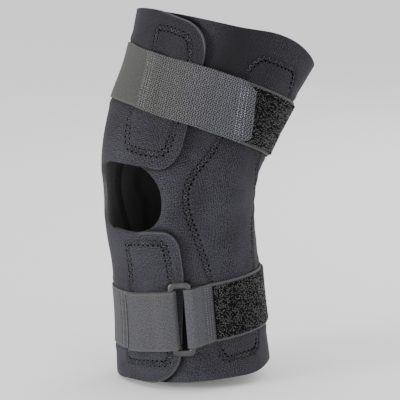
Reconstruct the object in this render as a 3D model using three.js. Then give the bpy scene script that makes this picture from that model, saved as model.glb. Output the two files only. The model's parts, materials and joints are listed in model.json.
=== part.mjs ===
// A wrap-around knee brace of neoprene, with two front flaps over an open kneecap, two straps, a strap ring,
// and a hinge stay in a pocket on each side. It keeps the form that it has on a slightly bent knee.
// The origin is the middle of the knee, inside the sleeve. +Z is up, the kneecap faces -Y, and +X is the outer
// side of the leg. Lengths are in millimetres. Angles are in degrees round the leg: 0 is the front, 90 the outer
// side, 180 the back and 270 the inner side, and the sleeve's wrap runs on past 360 over its own start.
import * as THREE from "three";

// Leg form, inside the sleeve.
const THIGH_LENGTH = 134;
const CALF_LENGTH = 154;
const KNEE_WIDTH = 110;
const KNEE_DEPTH = 122;
const THIGH_LEAN = 21;
const CALF_LEAN = 5.5;
const BEND_LENGTH = 90;
const SECTION_POWER = 2.25;

// One row for each section of the leg. along is -1 at the lower rim, 0 at the knee and 1 at the upper rim.
// width is a share of half the knee's width, front and back are shares of half its depth.
const LEG_SECTIONS = [
  { along: -1, width: 1.03, front: 0.91, back: 0.985 },
  { along: -2 / 3, width: 0.965, front: 0.845, back: 0.94 },
  { along: -1 / 3, width: 0.965, front: 0.875, back: 0.92 },
  { along: 0, width: 0.985, front: 1.045, back: 0.86 },
  { along: 1 / 3, width: 1.05, front: 1.14, back: 0.84 },
  { along: 2 / 3, width: 1.15, front: 1.055, back: 0.98 },
  { along: 1, width: 1.3, front: 1.07, back: 1.175 },
];

// Thicknesses and the gap that two pieces keep where they meet.
const NEOPRENE = 3.2;
const HOOK_PATCH = 1.0;
const WEBBING = 1.4;
const ELASTIC = 1.6;
const PILE = 1.2;
const POCKET_CLOTH = 1.0;
const STAY = 2.2;
const GAP = 0.45;

// The wrap: where it starts under the flaps, where it rises over that start, and the flaps' free edge.
const WRAP_START = -22;
const RISE_START = 285;
const RISE_END = 330;
const FLAP_EDGE = 52;
const UPPER_SLANT = 13.5;
const LOWER_SLANT = 10.5;
const UPPER_SLANT_START = 0.31;
const LOWER_SLANT_START = 0.4;

// Rounded corners of the flaps, and how far the upper flap's top edge falls from the front to its corner.
const UPPER_FLAP_TOP_CORNER = 23;
const UPPER_FLAP_FALL = 6.5;
const UPPER_FLAP_FOOT_CORNER = 19;
const LOWER_FLAP_TOP_CORNER = 13;
const LOWER_FLAP_FOOT_CORNER = 27;

// Waves of the two rims: each one's middle and half width round the leg, and its height as a share of the
// thigh's or the calf's length.
const UPPER_RIM_WAVES = [
  { middle: 92, width: 24, rise: 0.046 },
  { middle: 146, width: 20, rise: -0.03 },
  { middle: 20, width: 34, rise: -0.009 },
];
const LOWER_RIM_WAVES = [
  { middle: 105, width: 22, rise: 0.019 },
  { middle: 338, width: 20, rise: 0.016 },
];

// Kneecap opening: heights above the knee's middle, and the angles of its half width and its centre.
const OPENING_TOP = 12.5;
const OPENING_FOOT = -31;
const OPENING_HALF_ANGLE = 40;
const OPENING_CENTRE = -0.5;
const LOWER_FLAP_RISE = 3;
const LOWER_FLAP_RISE_END = 33;
const OPENING_POWER = 2.3;
const UNDER_CUT_EXTRA = 2;

// Hook patches under the flaps, set in from the flap's free edge.
const PATCH_INSET_ANGLE = 10.5;
const PATCH_ANGLE = 34;
const UPPER_PATCH_SHARES = { low: 0.17, high: 0.87 };
const LOWER_PATCH_SHARES = { low: 0.88, high: 0.23 };

// Straps.
const STRAP_WIDTH = 50;
const THIGH_STRAP = { level: 0.52 * THIGH_LENGTH, shift: 10, shiftFrom: 30 };
const CALF_STRAP = { level: -0.63 * CALF_LENGTH, shift: -7, shiftFrom: 60 };
const STRAP_SHIFT_RUN = 72;
const THIGH_SKEW = 0.2;
const THIGH_TIP = 90;
const TIP_CHAMFER_LENGTH = 9;
const TIP_CHAMFER_WIDTH = 6;
const ELASTIC_START = 6;
const ELASTIC_LAP = 10;
const WEBBING_START_PAST_FLAP = 8;
const PILE_EDGE = 2.2;
const THIGH_PILE_END = 215;
const CALF_PILE_START = 76;
const CALF_PILE_END = 186;
const CALF_BACK_JOIN = 192;
const CALF_FREE_END = -1.5;

// Strap ring: a flat loop whose long sides are the bars that the calf straps fold round.
const RING_BEFORE_FLAP_EDGE = 4.2;
const RING_BAR = 4.4;
const RING_END_BAR = 5;
const RING_THICKNESS = 2.6;
const RING_CORNER = 4.5;
const RING_SLOT = 10.4;
const RING_STRAP_PLAY = 1.5;
const RING_LIFT = 1.2;
const RING_FLAT_REACH = 12;
const RING_BLEND_REACH = 25;
const FOLD_PLAY = 0.6;

// Side pockets and the hinge stays in them. half is in degrees round the leg.
const POCKET_ANGLE = 97;
const POCKET_TOP = 0.93;
const POCKET_FOOT = 0.92;
const POCKET_TOP_END = 24;
const POCKET_FOOT_END = 14;
const POCKET_ROWS = [
  { along: -1, half: 17 },
  { along: -0.75, half: 17.5 },
  { along: -0.5, half: 20.5 },
  { along: -0.25, half: 29.5 },
  { along: 0, half: 39 },
  { along: 0.25, half: 24 },
  { along: 0.5, half: 20 },
  { along: 0.75, half: 20 },
  { along: 1, half: 20 },
];
const STAY_ARM_HALF_WIDTH = 7;
const STAY_HEAD_RADIUS = 17;
const STAY_TOP = 0.74;
const STAY_FOOT = 0.68;
const POCKET_SLOPE = 5;
const POCKET_ROOM = 3;

const { degToRad, radToDeg, smoothstep, clamp, lerp } = THREE.MathUtils;

// Smooth curve through a table's evenly spaced rows, from -1 to 1.
function tableValue(rows, along, column) {
  const last = rows.length - 1;
  const place = clamp(((along + 1) / 2) * last, 0, last);
  const index = Math.min(Math.floor(place), last - 1);
  const t = place - index;
  const value = (k) => rows[clamp(k, 0, last)][column];
  const [before, from, to, after] = [value(index - 1), value(index), value(index + 1), value(index + 2)];
  const slopeFrom = index === 0 ? to - from : (to - before) / 2;
  const slopeTo = index === last - 1 ? to - from : (after - from) / 2;
  const square = t * t;
  const cube = square * t;
  return (
    (2 * cube - 3 * square + 1) * from +
    (cube - 2 * square + t) * slopeFrom +
    (3 * square - 2 * cube) * to +
    (cube - square) * slopeTo
  );
}

// height is measured along the leg's centreline, up from the knee.
function shareOf(height) {
  return height >= 0 ? height / THIGH_LENGTH : height / CALF_LENGTH;
}

function heightOf(share) {
  return share >= 0 ? share * THIGH_LENGTH : share * CALF_LENGTH;
}

function legSection(height) {
  const along = shareOf(height);
  return {
    width: (KNEE_WIDTH / 2) * tableValue(LEG_SECTIONS, along, "width"),
    front: (KNEE_DEPTH / 2) * tableValue(LEG_SECTIONS, along, "front"),
    back: (KNEE_DEPTH / 2) * tableValue(LEG_SECTIONS, along, "back"),
  };
}

// The centreline is two straight stretches joined by an arc at the knee.
const BEND_RADIUS = BEND_LENGTH / degToRad(THIGH_LEAN + CALF_LEAN);
const HALF_BEND = BEND_LENGTH / 2;

function leanAt(height) {
  const share = clamp((height + HALF_BEND) / BEND_LENGTH, 0, 1);
  return degToRad(lerp(-CALF_LEAN, THIGH_LEAN, share));
}

function centreAt(height) {
  const middleLean = leanAt(0);
  const lean = leanAt(height);
  const beyond = height - clamp(height, -HALF_BEND, HALF_BEND);
  return {
    y: BEND_RADIUS * (Math.cos(middleLean) - Math.cos(lean)) + beyond * Math.sin(lean),
    z: BEND_RADIUS * (Math.sin(lean) - Math.sin(middleLean)) + beyond * Math.cos(lean),
  };
}

// A point round the leg, at a height along it and an offset out from its skin.
function wrapPoint(angle, height, offset) {
  const section = legSection(height);
  const turn = degToRad(angle);
  const roundness = 2 / SECTION_POWER;
  const side = Math.sign(Math.sin(turn)) * Math.abs(Math.sin(turn)) ** roundness;
  const ahead = Math.sign(Math.cos(turn)) * Math.abs(Math.cos(turn)) ** roundness;
  const depth = (ahead >= 0 ? section.front : section.back) + offset;
  const lean = leanAt(height);
  const centre = centreAt(height);
  return new THREE.Vector3(
    (section.width + offset) * side,
    centre.y - depth * ahead * Math.cos(lean),
    centre.z + depth * ahead * Math.sin(lean),
  );
}

function degreesOf(length, height) {
  const section = legSection(height);
  return radToDeg(length / ((section.width + section.front) / 2 + NEOPRENE));
}

// Where layers lie: offsets out from the skin of a layer's inner face.
const FLAP_RISE = NEOPRENE + HOOK_PATCH + 2 * GAP;
const ON_SLEEVE = NEOPRENE + GAP;

function riseAt(angle) {
  return FLAP_RISE * smoothstep(angle, RISE_START, RISE_END);
}

// Closes a sheet of four-cornered cells into a solid: an outer face, an inner face and a wall round each edge.
// point(key, side) places corner key on the outer face for side 1 and on the inner face for side -1.
function closedSheet(cells, point) {
  const positions = [];
  const indexOf = new Map();
  const corner = (key, side) => {
    const name = key + "/" + side;
    if (!indexOf.has(name)) {
      indexOf.set(name, positions.length / 3);
      positions.push(...point(key, side).toArray());
    }
    return indexOf.get(name);
  };
  const triangles = [];
  const addQuad = (a, b, c, d) => triangles.push(a, b, c, a, c, d);
  const edges = new Set(cells.flatMap((cell) => cell.map((key, k) => key + ">" + cell[(k + 1) % 4])));
  for (const cell of cells) {
    addQuad(...cell.map((key) => corner(key, 1)));
    addQuad(...[...cell].reverse().map((key) => corner(key, -1)));
    cell.forEach((from, k) => {
      const to = cell[(k + 1) % 4];
      if (!edges.has(to + ">" + from)) {
        addQuad(corner(to, 1), corner(from, 1), corner(from, -1), corner(to, -1));
      }
    });
  }
  const geometry = new THREE.BufferGeometry();
  geometry.setAttribute("position", new THREE.Float32BufferAttribute(positions, 3));
  geometry.setIndex(triangles);
  geometry.computeVertexNormals();
  return geometry;
}

// Cells of a grid, columns round the leg and rows up it.
function gridCells(columns, rows, key) {
  const cells = [];
  for (let i = 0; i < columns; i++) {
    for (let j = 0; j < rows; j++) cells.push([key(i, j), key(i + 1, j), key(i + 1, j + 1), key(i, j + 1)]);
  }
  return cells;
}

// Values from one end to the other, evenly spaced or crowded towards an end as points on a quarter circle are.
function spread(from, to, count, crowd = "none") {
  return Array.from({ length: count }, (_, k) => {
    const t = k / count;
    const quarter = (Math.PI / 2) * t;
    const share = { none: t, start: 1 - Math.cos(quarter), end: Math.sin(quarter) }[crowd];
    return lerp(from, to, share);
  });
}

// How far a rounded corner has taken the edge back, at a distance past the corner's start.
function cornerDrop(past, run, radius) {
  const share = clamp(past / run, 0, 1);
  return radius * (1 - Math.sqrt(1 - share * share));
}

// The flap's free edge turns back towards the rims, and what is near it turns with it.
function slantAt(height) {
  if (height >= 0) {
    return UPPER_SLANT * clamp((shareOf(height) - UPPER_SLANT_START) / (1 - UPPER_SLANT_START), 0, 1);
  }
  return LOWER_SLANT * clamp((-shareOf(height) - LOWER_SLANT_START) / (1 - LOWER_SLANT_START), 0, 1);
}

function flapAngle(angle, height) {
  return angle - slantAt(height) * smoothstep(angle, RISE_END, 360 + FLAP_EDGE - PATCH_INSET_ANGLE);
}

const FLAP_END = 360 + FLAP_EDGE;
const OPENING_MIDDLE = (OPENING_TOP + OPENING_FOOT) / 2;
const UNDER_CUT_END = OPENING_CENTRE + OPENING_HALF_ANGLE;
const NOTCH_START = 360 + OPENING_CENTRE - OPENING_HALF_ANGLE;

// Rounded end of the kneecap opening, as a share of its half height.
function openingShare(distanceFromCentre) {
  const share = clamp(Math.abs(distanceFromCentre) / OPENING_HALF_ANGLE, 0, 1);
  return (1 - share ** OPENING_POWER) ** (1 / OPENING_POWER);
}

// How far a rim's waves take it outwards at an angle, as a share of the thigh's or the calf's length.
function rimWave(waves, angle) {
  const around = (middle) => THREE.MathUtils.euclideanModulo(angle - middle + 180, 360) - 180;
  return waves.reduce((sum, wave) => sum + wave.rise * Math.exp(-((around(wave.middle) / wave.width) ** 2)), 0);
}

// The sleeve's outline at an angle: its foot, the opening's foot and top, and its own top.
function sleeveOutline(angle) {
  const half = (OPENING_TOP - OPENING_FOOT) / 2;
  const pastCorner = (radius, height) => {
    const run = degreesOf(radius, height);
    return cornerDrop(angle - (FLAP_END - run), run, radius);
  };
  const outline = {
    foot: pastCorner(LOWER_FLAP_FOOT_CORNER, -CALF_LENGTH) - CALF_LENGTH * (1 + rimWave(LOWER_RIM_WAVES, angle)),
    openingFoot: OPENING_MIDDLE,
    openingTop: OPENING_MIDDLE,
    top: THIGH_LENGTH * (1 + rimWave(UPPER_RIM_WAVES, angle)) - pastCorner(UPPER_FLAP_TOP_CORNER, THIGH_LENGTH),
  };
  outline.top -= UPPER_FLAP_FALL * smoothstep(angle, 360, FLAP_END);
  if (angle < UNDER_CUT_END) {
    const reach = half * openingShare(Math.max(0, angle - OPENING_CENTRE));
    outline.openingFoot -= reach;
    outline.openingTop += reach + UNDER_CUT_EXTRA * openingShare(Math.max(0, angle - OPENING_CENTRE));
  } else if (angle > NOTCH_START) {
    const reach = half * openingShare(Math.min(0, angle - 360 - OPENING_CENTRE));
    const rise = LOWER_FLAP_RISE * smoothstep(angle - 360, OPENING_CENTRE, LOWER_FLAP_RISE_END);
    outline.openingFoot -= reach - rise + pastCorner(LOWER_FLAP_TOP_CORNER, OPENING_FOOT);
    outline.openingTop += reach + pastCorner(UPPER_FLAP_FOOT_CORNER, OPENING_TOP);
  }
  return outline;
}

// The neoprene sleeve with its flaps: one sheet, slit along the row at the opening's middle where that is open.
function sleeveGeometry() {
  const cornerRun = degreesOf(UPPER_FLAP_TOP_CORNER, THIGH_LENGTH);
  const angles = [
    ...spread(WRAP_START, OPENING_CENTRE, 3),
    ...spread(OPENING_CENTRE, UNDER_CUT_END, 9, "end"),
    ...spread(UNDER_CUT_END, NOTCH_START, 32),
    ...spread(NOTCH_START, 360 + OPENING_CENTRE, 9, "start"),
    ...spread(360 + OPENING_CENTRE, FLAP_END - cornerRun, 5),
    ...spread(FLAP_END - cornerRun, FLAP_END, 7, "end"),
    FLAP_END,
  ];
  const rows = 9;
  const lastRow = 2 * rows + 1;
  const isOpen = (i) => angles[i] < UNDER_CUT_END || angles[i] > NOTCH_START;
  const key = (i, j) => i * (lastRow + 1) + (j === rows + 1 && !isOpen(i) ? rows : j);
  const lower = gridCells(angles.length - 1, rows, key);
  const upper = gridCells(angles.length - 1, rows, (i, j) => key(i, j + rows + 1));
  return closedSheet([...lower, ...upper], (corner, side) => {
    const angle = angles[Math.floor(corner / (lastRow + 1))];
    const row = corner % (lastRow + 1);
    const outline = sleeveOutline(angle);
    const height =
      row <= rows
        ? lerp(outline.foot, outline.openingFoot, row / rows)
        : lerp(outline.openingTop, outline.top, (row - rows - 1) / rows);
    const offset = riseAt(angle) + (side > 0 ? NEOPRENE : 0);
    return wrapPoint(flapAngle(angle, height), height, offset);
  });
}

// A hook patch between the wrap's start and a flap.
function patchGeometry(low, high) {
  const columns = 6;
  const rows = 9;
  const right = FLAP_END - PATCH_INSET_ANGLE;
  const left = right - PATCH_ANGLE;
  const key = (i, j) => i * (rows + 1) + j;
  return closedSheet(gridCells(columns, rows, key), (corner, side) => {
    const angle = lerp(left, right, Math.floor(corner / (rows + 1)) / columns);
    const height = lerp(low, high, (corner % (rows + 1)) / rows);
    return wrapPoint(flapAngle(angle, height), height, ON_SLEEVE + (side > 0 ? HOOK_PATCH : 0));
  });
}

// A strap laid along a path of angles and offsets, which are its middle thickness. edges(angle) gives the heights
// of its two edges, level is its own height, and place puts a point of it on the leg.
function ribbonGeometry(path, thickness, edges, level, place = wrapPoint) {
  const across = 3;
  const key = (i, j) => i * (across + 1) + j;
  const length = (angle) => angle / degreesOf(1, level);
  const normals = path.map((_, i) => {
    const before = path[Math.max(i - 1, 0)];
    const after = path[Math.min(i + 1, path.length - 1)];
    const run = length(after.angle - before.angle);
    const along = new THREE.Vector2(run, after.offset - before.offset).normalize();
    return new THREE.Vector2(-along.y, along.x);
  });
  return closedSheet(gridCells(path.length - 1, across, key), (corner, side) => {
    const i = Math.floor(corner / (across + 1));
    const [low, high] = edges(path[i].angle);
    const step = normals[i].clone().multiplyScalar((side * thickness) / 2);
    const angle = path[i].angle + step.x * degreesOf(1, level);
    return place(angle, lerp(low, high, (corner % (across + 1)) / across), path[i].offset + step.y);
  });
}

// A path from one angle to another whose offset is a function of the angle.
function plainPath(from, to, spacing, offset) {
  const steps = Math.ceil(Math.abs(to - from) / spacing);
  return Array.from({ length: steps + 1 }, (_, k) => {
    const angle = lerp(from, to, k / steps);
    return { angle, offset: offset(angle) };
  });
}

// Height of a strap's middle at an angle. Towards the inner side it shifts a little, up or down, and comes back
// round the back.
function strapMiddle(strap, angle) {
  const fromFront = angle > 180 ? angle - 360 : angle;
  const shifted = 1 - smoothstep(fromFront, strap.shiftFrom - STRAP_SHIFT_RUN, strap.shiftFrom);
  const back = angle > 180 ? smoothstep(-fromFront, 60, 170) : 0;
  return strap.level + strap.shift * shifted * (1 - back);
}

function strapEdges(strap, narrower = 0) {
  const half = STRAP_WIDTH / 2 - narrower;
  return (angle) => [strapMiddle(strap, angle) - half, strapMiddle(strap, angle) + half];
}

// The thigh strap's cut ends slant, by some degrees for each millimetre up the strap. Its webbing does so only
// where it comes to the front.
function skewedPoint(angle, height, offset) {
  return wrapPoint(angle - THIGH_SKEW * (height - strapMiddle(THIGH_STRAP, angle)), height, offset);
}

function frontSkewedPoint(angle, height, offset) {
  const skew = THIGH_SKEW * smoothstep(angle, RISE_END + 5, 360);
  return wrapPoint(angle - skew * (height - strapMiddle(THIGH_STRAP, angle)), height, offset);
}

const THIGH_WEBBING_START = FLAP_EDGE + WEBBING_START_PAST_FLAP;
const THIGH_WEBBING_END = 360 + ELASTIC_START + ELASTIC_LAP;
const ON_WEBBING = ON_SLEEVE + WEBBING + GAP;
const ON_PILE = ON_WEBBING + PILE + GAP;

// The smooth webbing of the thigh strap: under the tip, round the back, and forward over the upper flap.
function thighWebbingGeometry() {
  const offset = (angle) => ON_SLEEVE + riseAt(angle) + WEBBING / 2;
  const path = [
    ...plainPath(THIGH_WEBBING_START, RISE_START, 7, offset),
    ...plainPath(RISE_START + 5, THIGH_WEBBING_END, 5, offset),
  ];
  return ribbonGeometry(path, WEBBING, strapEdges(THIGH_STRAP), THIGH_STRAP.level, frontSkewedPoint);
}

function thighPileGeometry() {
  const path = plainPath(THIGH_WEBBING_START, THIGH_PILE_END, 7, () => ON_WEBBING + PILE / 2);
  return ribbonGeometry(path, PILE, strapEdges(THIGH_STRAP, PILE_EDGE), THIGH_STRAP.level);
}

// The elastic part of the thigh strap, from its lap over the webbing to the tip that closes on the pile.
function thighElasticGeometry() {
  const onFlap = ON_SLEEVE + FLAP_RISE;
  const lapEnd = ELASTIC_START + ELASTIC_LAP;
  const path = plainPath(ELASTIC_START, THIGH_TIP, 4, (angle) => {
    const lap = (WEBBING + GAP) * (1 - smoothstep(angle, lapEnd + 1, lapEnd + 8));
    const inner = lerp(onFlap, ON_PILE, smoothstep(angle, FLAP_EDGE, THIGH_WEBBING_START + 5)) + lap;
    return inner + ELASTIC / 2;
  });
  const chamferStart = THIGH_TIP - degreesOf(TIP_CHAMFER_LENGTH, THIGH_STRAP.level);
  const edges = (angle) => {
    const cut = TIP_CHAMFER_WIDTH * clamp((angle - chamferStart) / (THIGH_TIP - chamferStart), 0, 1);
    const [low, high] = strapEdges(THIGH_STRAP)(angle);
    return [low + cut, high - cut];
  };
  path.splice(
    path.findIndex(({ angle }) => angle > chamferStart),
    0,
    { angle: chamferStart, offset: ON_PILE + ELASTIC / 2 },
  );
  return ribbonGeometry(path, ELASTIC, edges, THIGH_STRAP.level, skewedPoint);
}

// Where the ring lies, and the fold that a strap makes round one of its bars.
const RING_ANGLE = FLAP_EDGE - RING_BEFORE_FLAP_EDGE;
const RING_HEIGHT = strapMiddle(CALF_STRAP, RING_ANGLE);
const BAR_FROM_MIDDLE = (RING_SLOT + RING_BAR) / 2;
const UNDER_BAR = ON_SLEEVE + FLAP_RISE + RING_LIFT + WEBBING / 2;
const FOLD_HALF_HEIGHT = RING_THICKNESS / 2 + FOLD_PLAY + WEBBING / 2;
const FOLD_HALF_WIDTH = RING_BAR / 2 + FOLD_PLAY + WEBBING / 2;
const BAR_OFFSET = UNDER_BAR + FOLD_HALF_HEIGHT;

// The ring's own frame: X round the leg, Y up it and Z out, with its middle at the bars' offset.
function ringFrame() {
  const step = 1;
  const at = (angle, height) => wrapPoint(angle, height, BAR_OFFSET);
  const round = at(RING_ANGLE + step, RING_HEIGHT).sub(at(RING_ANGLE - step, RING_HEIGHT)).normalize();
  const reach = STRAP_WIDTH / 2;
  const up = at(RING_ANGLE, RING_HEIGHT + reach).sub(at(RING_ANGLE, RING_HEIGHT - reach)).normalize();
  const out = round.clone().cross(up).normalize();
  const frame = new THREE.Matrix4().makeBasis(up.clone().cross(out), up, out);
  return frame.setPosition(at(RING_ANGLE, RING_HEIGHT));
}

const RING_FRAME = ringFrame();

// A point of a calf strap: flat in the ring's frame near the ring, and round the leg away from it.
function nearRingPoint(angle, height, offset) {
  const onLeg = wrapPoint(angle, height, offset);
  const across = ((angle > 180 ? angle - 360 : angle) - RING_ANGLE) / degreesOf(1, RING_HEIGHT);
  const onRing = new THREE.Vector3(across, height - RING_HEIGHT, offset - BAR_OFFSET).applyMatrix4(RING_FRAME);
  return onRing.lerp(onLeg, smoothstep(Math.abs(across), RING_FLAT_REACH, RING_BLEND_REACH));
}

// The half turn round a bar, from under it to over it. inward is 1 for the bar nearer the front.
function foldPath(inward) {
  const bar = RING_ANGLE - inward * degreesOf(BAR_FROM_MIDDLE, RING_HEIGHT);
  const steps = 8;
  const reach = FOLD_HALF_WIDTH - FOLD_HALF_HEIGHT;
  return Array.from({ length: steps + 1 }, (_, k) => {
    const turn = -Math.PI / 2 + (Math.PI * k) / steps;
    const across = reach + FOLD_HALF_HEIGHT * Math.cos(turn);
    return {
      angle: bar + inward * across * degreesOf(1, RING_HEIGHT),
      offset: BAR_OFFSET + FOLD_HALF_HEIGHT * Math.sin(turn),
    };
  });
}

// The calf strap that is pulled through the ring and folded back on itself, to its free end at the front.
function calfPullGeometry() {
  const fold = foldPath(1);
  const overFold = fold[fold.length - 1];
  const folded = UNDER_BAR + WEBBING + GAP;
  const slopeEnd = RING_ANGLE - 24;
  const base = (angle) => ON_SLEEVE + riseAt(angle) + WEBBING / 2;
  const path = [
    ...plainPath(CALF_BACK_JOIN, 360 + fold[0].angle - 3, 7, base),
    ...fold.map(({ angle, offset }) => ({ angle: 360 + angle, offset })),
    ...plainPath(360 + overFold.angle - 4, 360 + CALF_FREE_END, 4, (angle) =>
      lerp(folded, overFold.offset, smoothstep(angle, 360 + slopeEnd, 360 + overFold.angle)),
    ),
  ];
  return ribbonGeometry(path, WEBBING, strapEdges(CALF_STRAP), RING_HEIGHT, nearRingPoint);
}

// The calf strap that carries the ring: folded round its other bar, and laid back round the outer side.
function calfAnchorGeometry() {
  const fold = foldPath(-1);
  const tailEnd = RING_ANGLE + 19;
  const base = ON_SLEEVE + WEBBING / 2;
  const doubled = base + WEBBING + GAP;
  const under = fold[0];
  const over = fold[fold.length - 1];
  const path = [
    ...plainPath(tailEnd, under.angle + 2, 3, (angle) =>
      lerp(under.offset, base, smoothstep(angle, under.angle + 1, RING_ANGLE + 16)),
    ),
    ...fold,
    ...plainPath(over.angle + 2, tailEnd + 1, 3, (angle) =>
      lerp(over.offset, doubled, smoothstep(angle, over.angle + 4, tailEnd)),
    ),
    ...plainPath(tailEnd + 3, CALF_PILE_START - 2, 2, (angle) =>
      lerp(doubled, base, smoothstep(angle, tailEnd + 1, CALF_PILE_START - 2)),
    ),
    ...plainPath(CALF_PILE_START + 3, CALF_BACK_JOIN - 1, 6, () => base),
  ];
  return ribbonGeometry(path, WEBBING, strapEdges(CALF_STRAP), RING_HEIGHT, nearRingPoint);
}

function calfPileGeometry() {
  const path = plainPath(CALF_PILE_START, CALF_PILE_END, 7, () => ON_WEBBING + PILE / 2);
  return ribbonGeometry(path, PILE, strapEdges(CALF_STRAP, PILE_EDGE), RING_HEIGHT);
}

// The ring in its own plane, its slot along Y.
function ringGeometry() {
  const roundedRectangle = (target, halfWidth, halfHeight, radius) => {
    target.moveTo(halfWidth, 0);
    const corners = [
      [1, 1],
      [-1, 1],
      [-1, -1],
      [1, -1],
    ];
    corners.forEach(([x, y], k) => {
      const from = (k * Math.PI) / 2;
      target.absarc(x * (halfWidth - radius), y * (halfHeight - radius), radius, from, from + Math.PI / 2);
    });
    target.closePath();
    return target;
  };
  const slotHalfHeight = STRAP_WIDTH / 2 + RING_STRAP_PLAY;
  const [halfWidth, halfHeight] = [RING_SLOT / 2 + RING_BAR, slotHalfHeight + RING_END_BAR];
  const outer = roundedRectangle(new THREE.Shape(), halfWidth, halfHeight, RING_CORNER);
  outer.holes.push(roundedRectangle(new THREE.Path(), RING_SLOT / 2, slotHalfHeight, 1));
  const depth = RING_THICKNESS;
  const geometry = new THREE.ExtrudeGeometry(outer, { depth, bevelEnabled: false, curveSegments: 4 });
  return geometry.translate(0, 0, -depth / 2);
}

// Half width of a pocket panel in degrees, with rounded ends.
function pocketHalf(height) {
  const fromTop = POCKET_TOP * THIGH_LENGTH - height;
  const fromFoot = height + POCKET_FOOT * CALF_LENGTH;
  const fromEnd = clamp(Math.min(fromTop / POCKET_TOP_END, fromFoot / POCKET_FOOT_END), 0, 1);
  const rounded = 0.25 + 0.75 * Math.sqrt(1 - (1 - fromEnd) ** 2);
  return tableValue(POCKET_ROWS, shareOf(height), "half") * rounded;
}

function stayHalfWidth(height, room = 0) {
  const insideHead = (STAY_HEAD_RADIUS + room) ** 2 - height ** 2;
  return Math.max(STAY_ARM_HALF_WIDTH + room, insideHead > 0 ? Math.sqrt(insideHead) : 0);
}

// A pocket panel inside the sleeve, dished round the stay. middle is its angle round the leg.
function pocketGeometry(middle) {
  const low = -POCKET_FOOT * CALF_LENGTH;
  const high = POCKET_TOP * THIGH_LENGTH;
  const dishFoot = -STAY_FOOT * CALF_LENGTH - POCKET_ROOM;
  const heights = [
    ...spread(low, low + POCKET_FOOT_END, 2, "start"),
    ...spread(low + POCKET_FOOT_END, dishFoot, 2),
    ...spread(dishFoot, high - POCKET_TOP_END, 16),
    ...spread(high - POCKET_TOP_END, high, 3, "end"),
    high,
  ];
  const columns = 8;
  const key = (i, j) => i * heights.length + j;
  return closedSheet(gridCells(columns, heights.length - 1, key), (corner, side) => {
    const height = heights[corner % heights.length];
    const column = Math.floor(corner / heights.length) - columns / 2;
    const half = pocketHalf(height);
    const flatHalf = Math.min(degreesOf(stayHalfWidth(height, POCKET_ROOM), height), 0.7 * half);
    const slopeEnd = Math.min(flatHalf + degreesOf(POCKET_SLOPE, height), 0.9 * half);
    const fromMiddle = [0, flatHalf / 2, flatHalf, slopeEnd, half][Math.abs(column)];
    const pastStay = Math.max(height - STAY_TOP * THIGH_LENGTH, -STAY_FOOT * CALF_LENGTH - height);
    const beyondStay = pastStay - POCKET_ROOM;
    const dish = (Math.abs(column) <= 2 ? 1 : 0) * (1 - smoothstep(beyondStay, 0, POCKET_SLOPE));
    const offset = -GAP - dish * (STAY + GAP) - (side > 0 ? 0 : POCKET_CLOTH);
    return wrapPoint(middle + Math.sign(column) * fromMiddle, height, offset);
  });
}

// A hinge stay between the sleeve and its pocket: two arms and a round head, in one plain piece.
function stayGeometry(middle) {
  const low = -STAY_FOOT * CALF_LENGTH;
  const high = STAY_TOP * THIGH_LENGTH;
  const heights = [
    ...spread(low, -STAY_HEAD_RADIUS, 7),
    ...spread(-STAY_HEAD_RADIUS, 0, 4, "start"),
    ...spread(0, STAY_HEAD_RADIUS, 4, "end"),
    ...spread(STAY_HEAD_RADIUS, high, 6),
    high,
  ];
  const columns = 4;
  const key = (i, j) => i * heights.length + j;
  return closedSheet(gridCells(columns, heights.length - 1, key), (corner, side) => {
    const height = heights[corner % heights.length];
    const share = (Math.floor(corner / heights.length) / columns) * 2 - 1;
    const angle = middle + share * degreesOf(stayHalfWidth(height), height);
    return wrapPoint(angle, height, -GAP - (side > 0 ? 0 : STAY));
  });
}

function finish(color, roughness, metalness = 0) {
  return new THREE.MeshStandardMaterial({ color, roughness, metalness });
}

const NEOPRENE_CLOTH = finish(0x3c3d44, 0.9);
const GREY_WEBBING = finish(0x6a6e6e, 0.85);
const GREY_ELASTIC = finish(0x646a6e, 0.85);
const BLACK_PILE = finish(0x141415, 1.0);
const BLACK_HOOK = finish(0x1c1c1e, 0.8);
const RING_PLASTIC = finish(0x55595a, 0.45);
const STAY_METAL = finish(0x9a9c9e, 0.4, 0.9);

function piece(name, geometry, material) {
  const mesh = new THREE.Mesh(geometry, material);
  mesh.name = name;
  return mesh;
}

const brace = new THREE.Group();
brace.name = "knee_brace";

brace.add(
  piece("sleeve", sleeveGeometry(), NEOPRENE_CLOTH),
  piece(
    "upper_hook_patch",
    patchGeometry(heightOf(UPPER_PATCH_SHARES.low), heightOf(UPPER_PATCH_SHARES.high)),
    BLACK_HOOK,
  ),
  piece(
    "lower_hook_patch",
    patchGeometry(heightOf(-LOWER_PATCH_SHARES.low), heightOf(-LOWER_PATCH_SHARES.high)),
    BLACK_HOOK,
  ),
);

const thighStrap = new THREE.Group();
thighStrap.add(
  piece("thigh_webbing", thighWebbingGeometry(), GREY_WEBBING),
  piece("thigh_pile", thighPileGeometry(), BLACK_PILE),
  piece("thigh_elastic", thighElasticGeometry(), GREY_ELASTIC),
);

const calfStrap = new THREE.Group();
calfStrap.add(
  piece("calf_pull_strap", calfPullGeometry(), GREY_WEBBING),
  piece("calf_anchor_strap", calfAnchorGeometry(), GREY_WEBBING),
  piece("calf_pile", calfPileGeometry(), BLACK_PILE),
  piece("strap_ring", ringGeometry().applyMatrix4(RING_FRAME), RING_PLASTIC),
);

brace.add(thighStrap, calfStrap);

for (const [side, middle] of [
  ["outer", POCKET_ANGLE],
  ["inner", 360 - POCKET_ANGLE],
]) {
  brace.add(
    piece(side + "_hinge_pocket", pocketGeometry(middle), NEOPRENE_CLOTH),
    piece(side + "_hinge_stay", stayGeometry(middle), STAY_METAL),
  );
}

export default brace;
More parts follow.
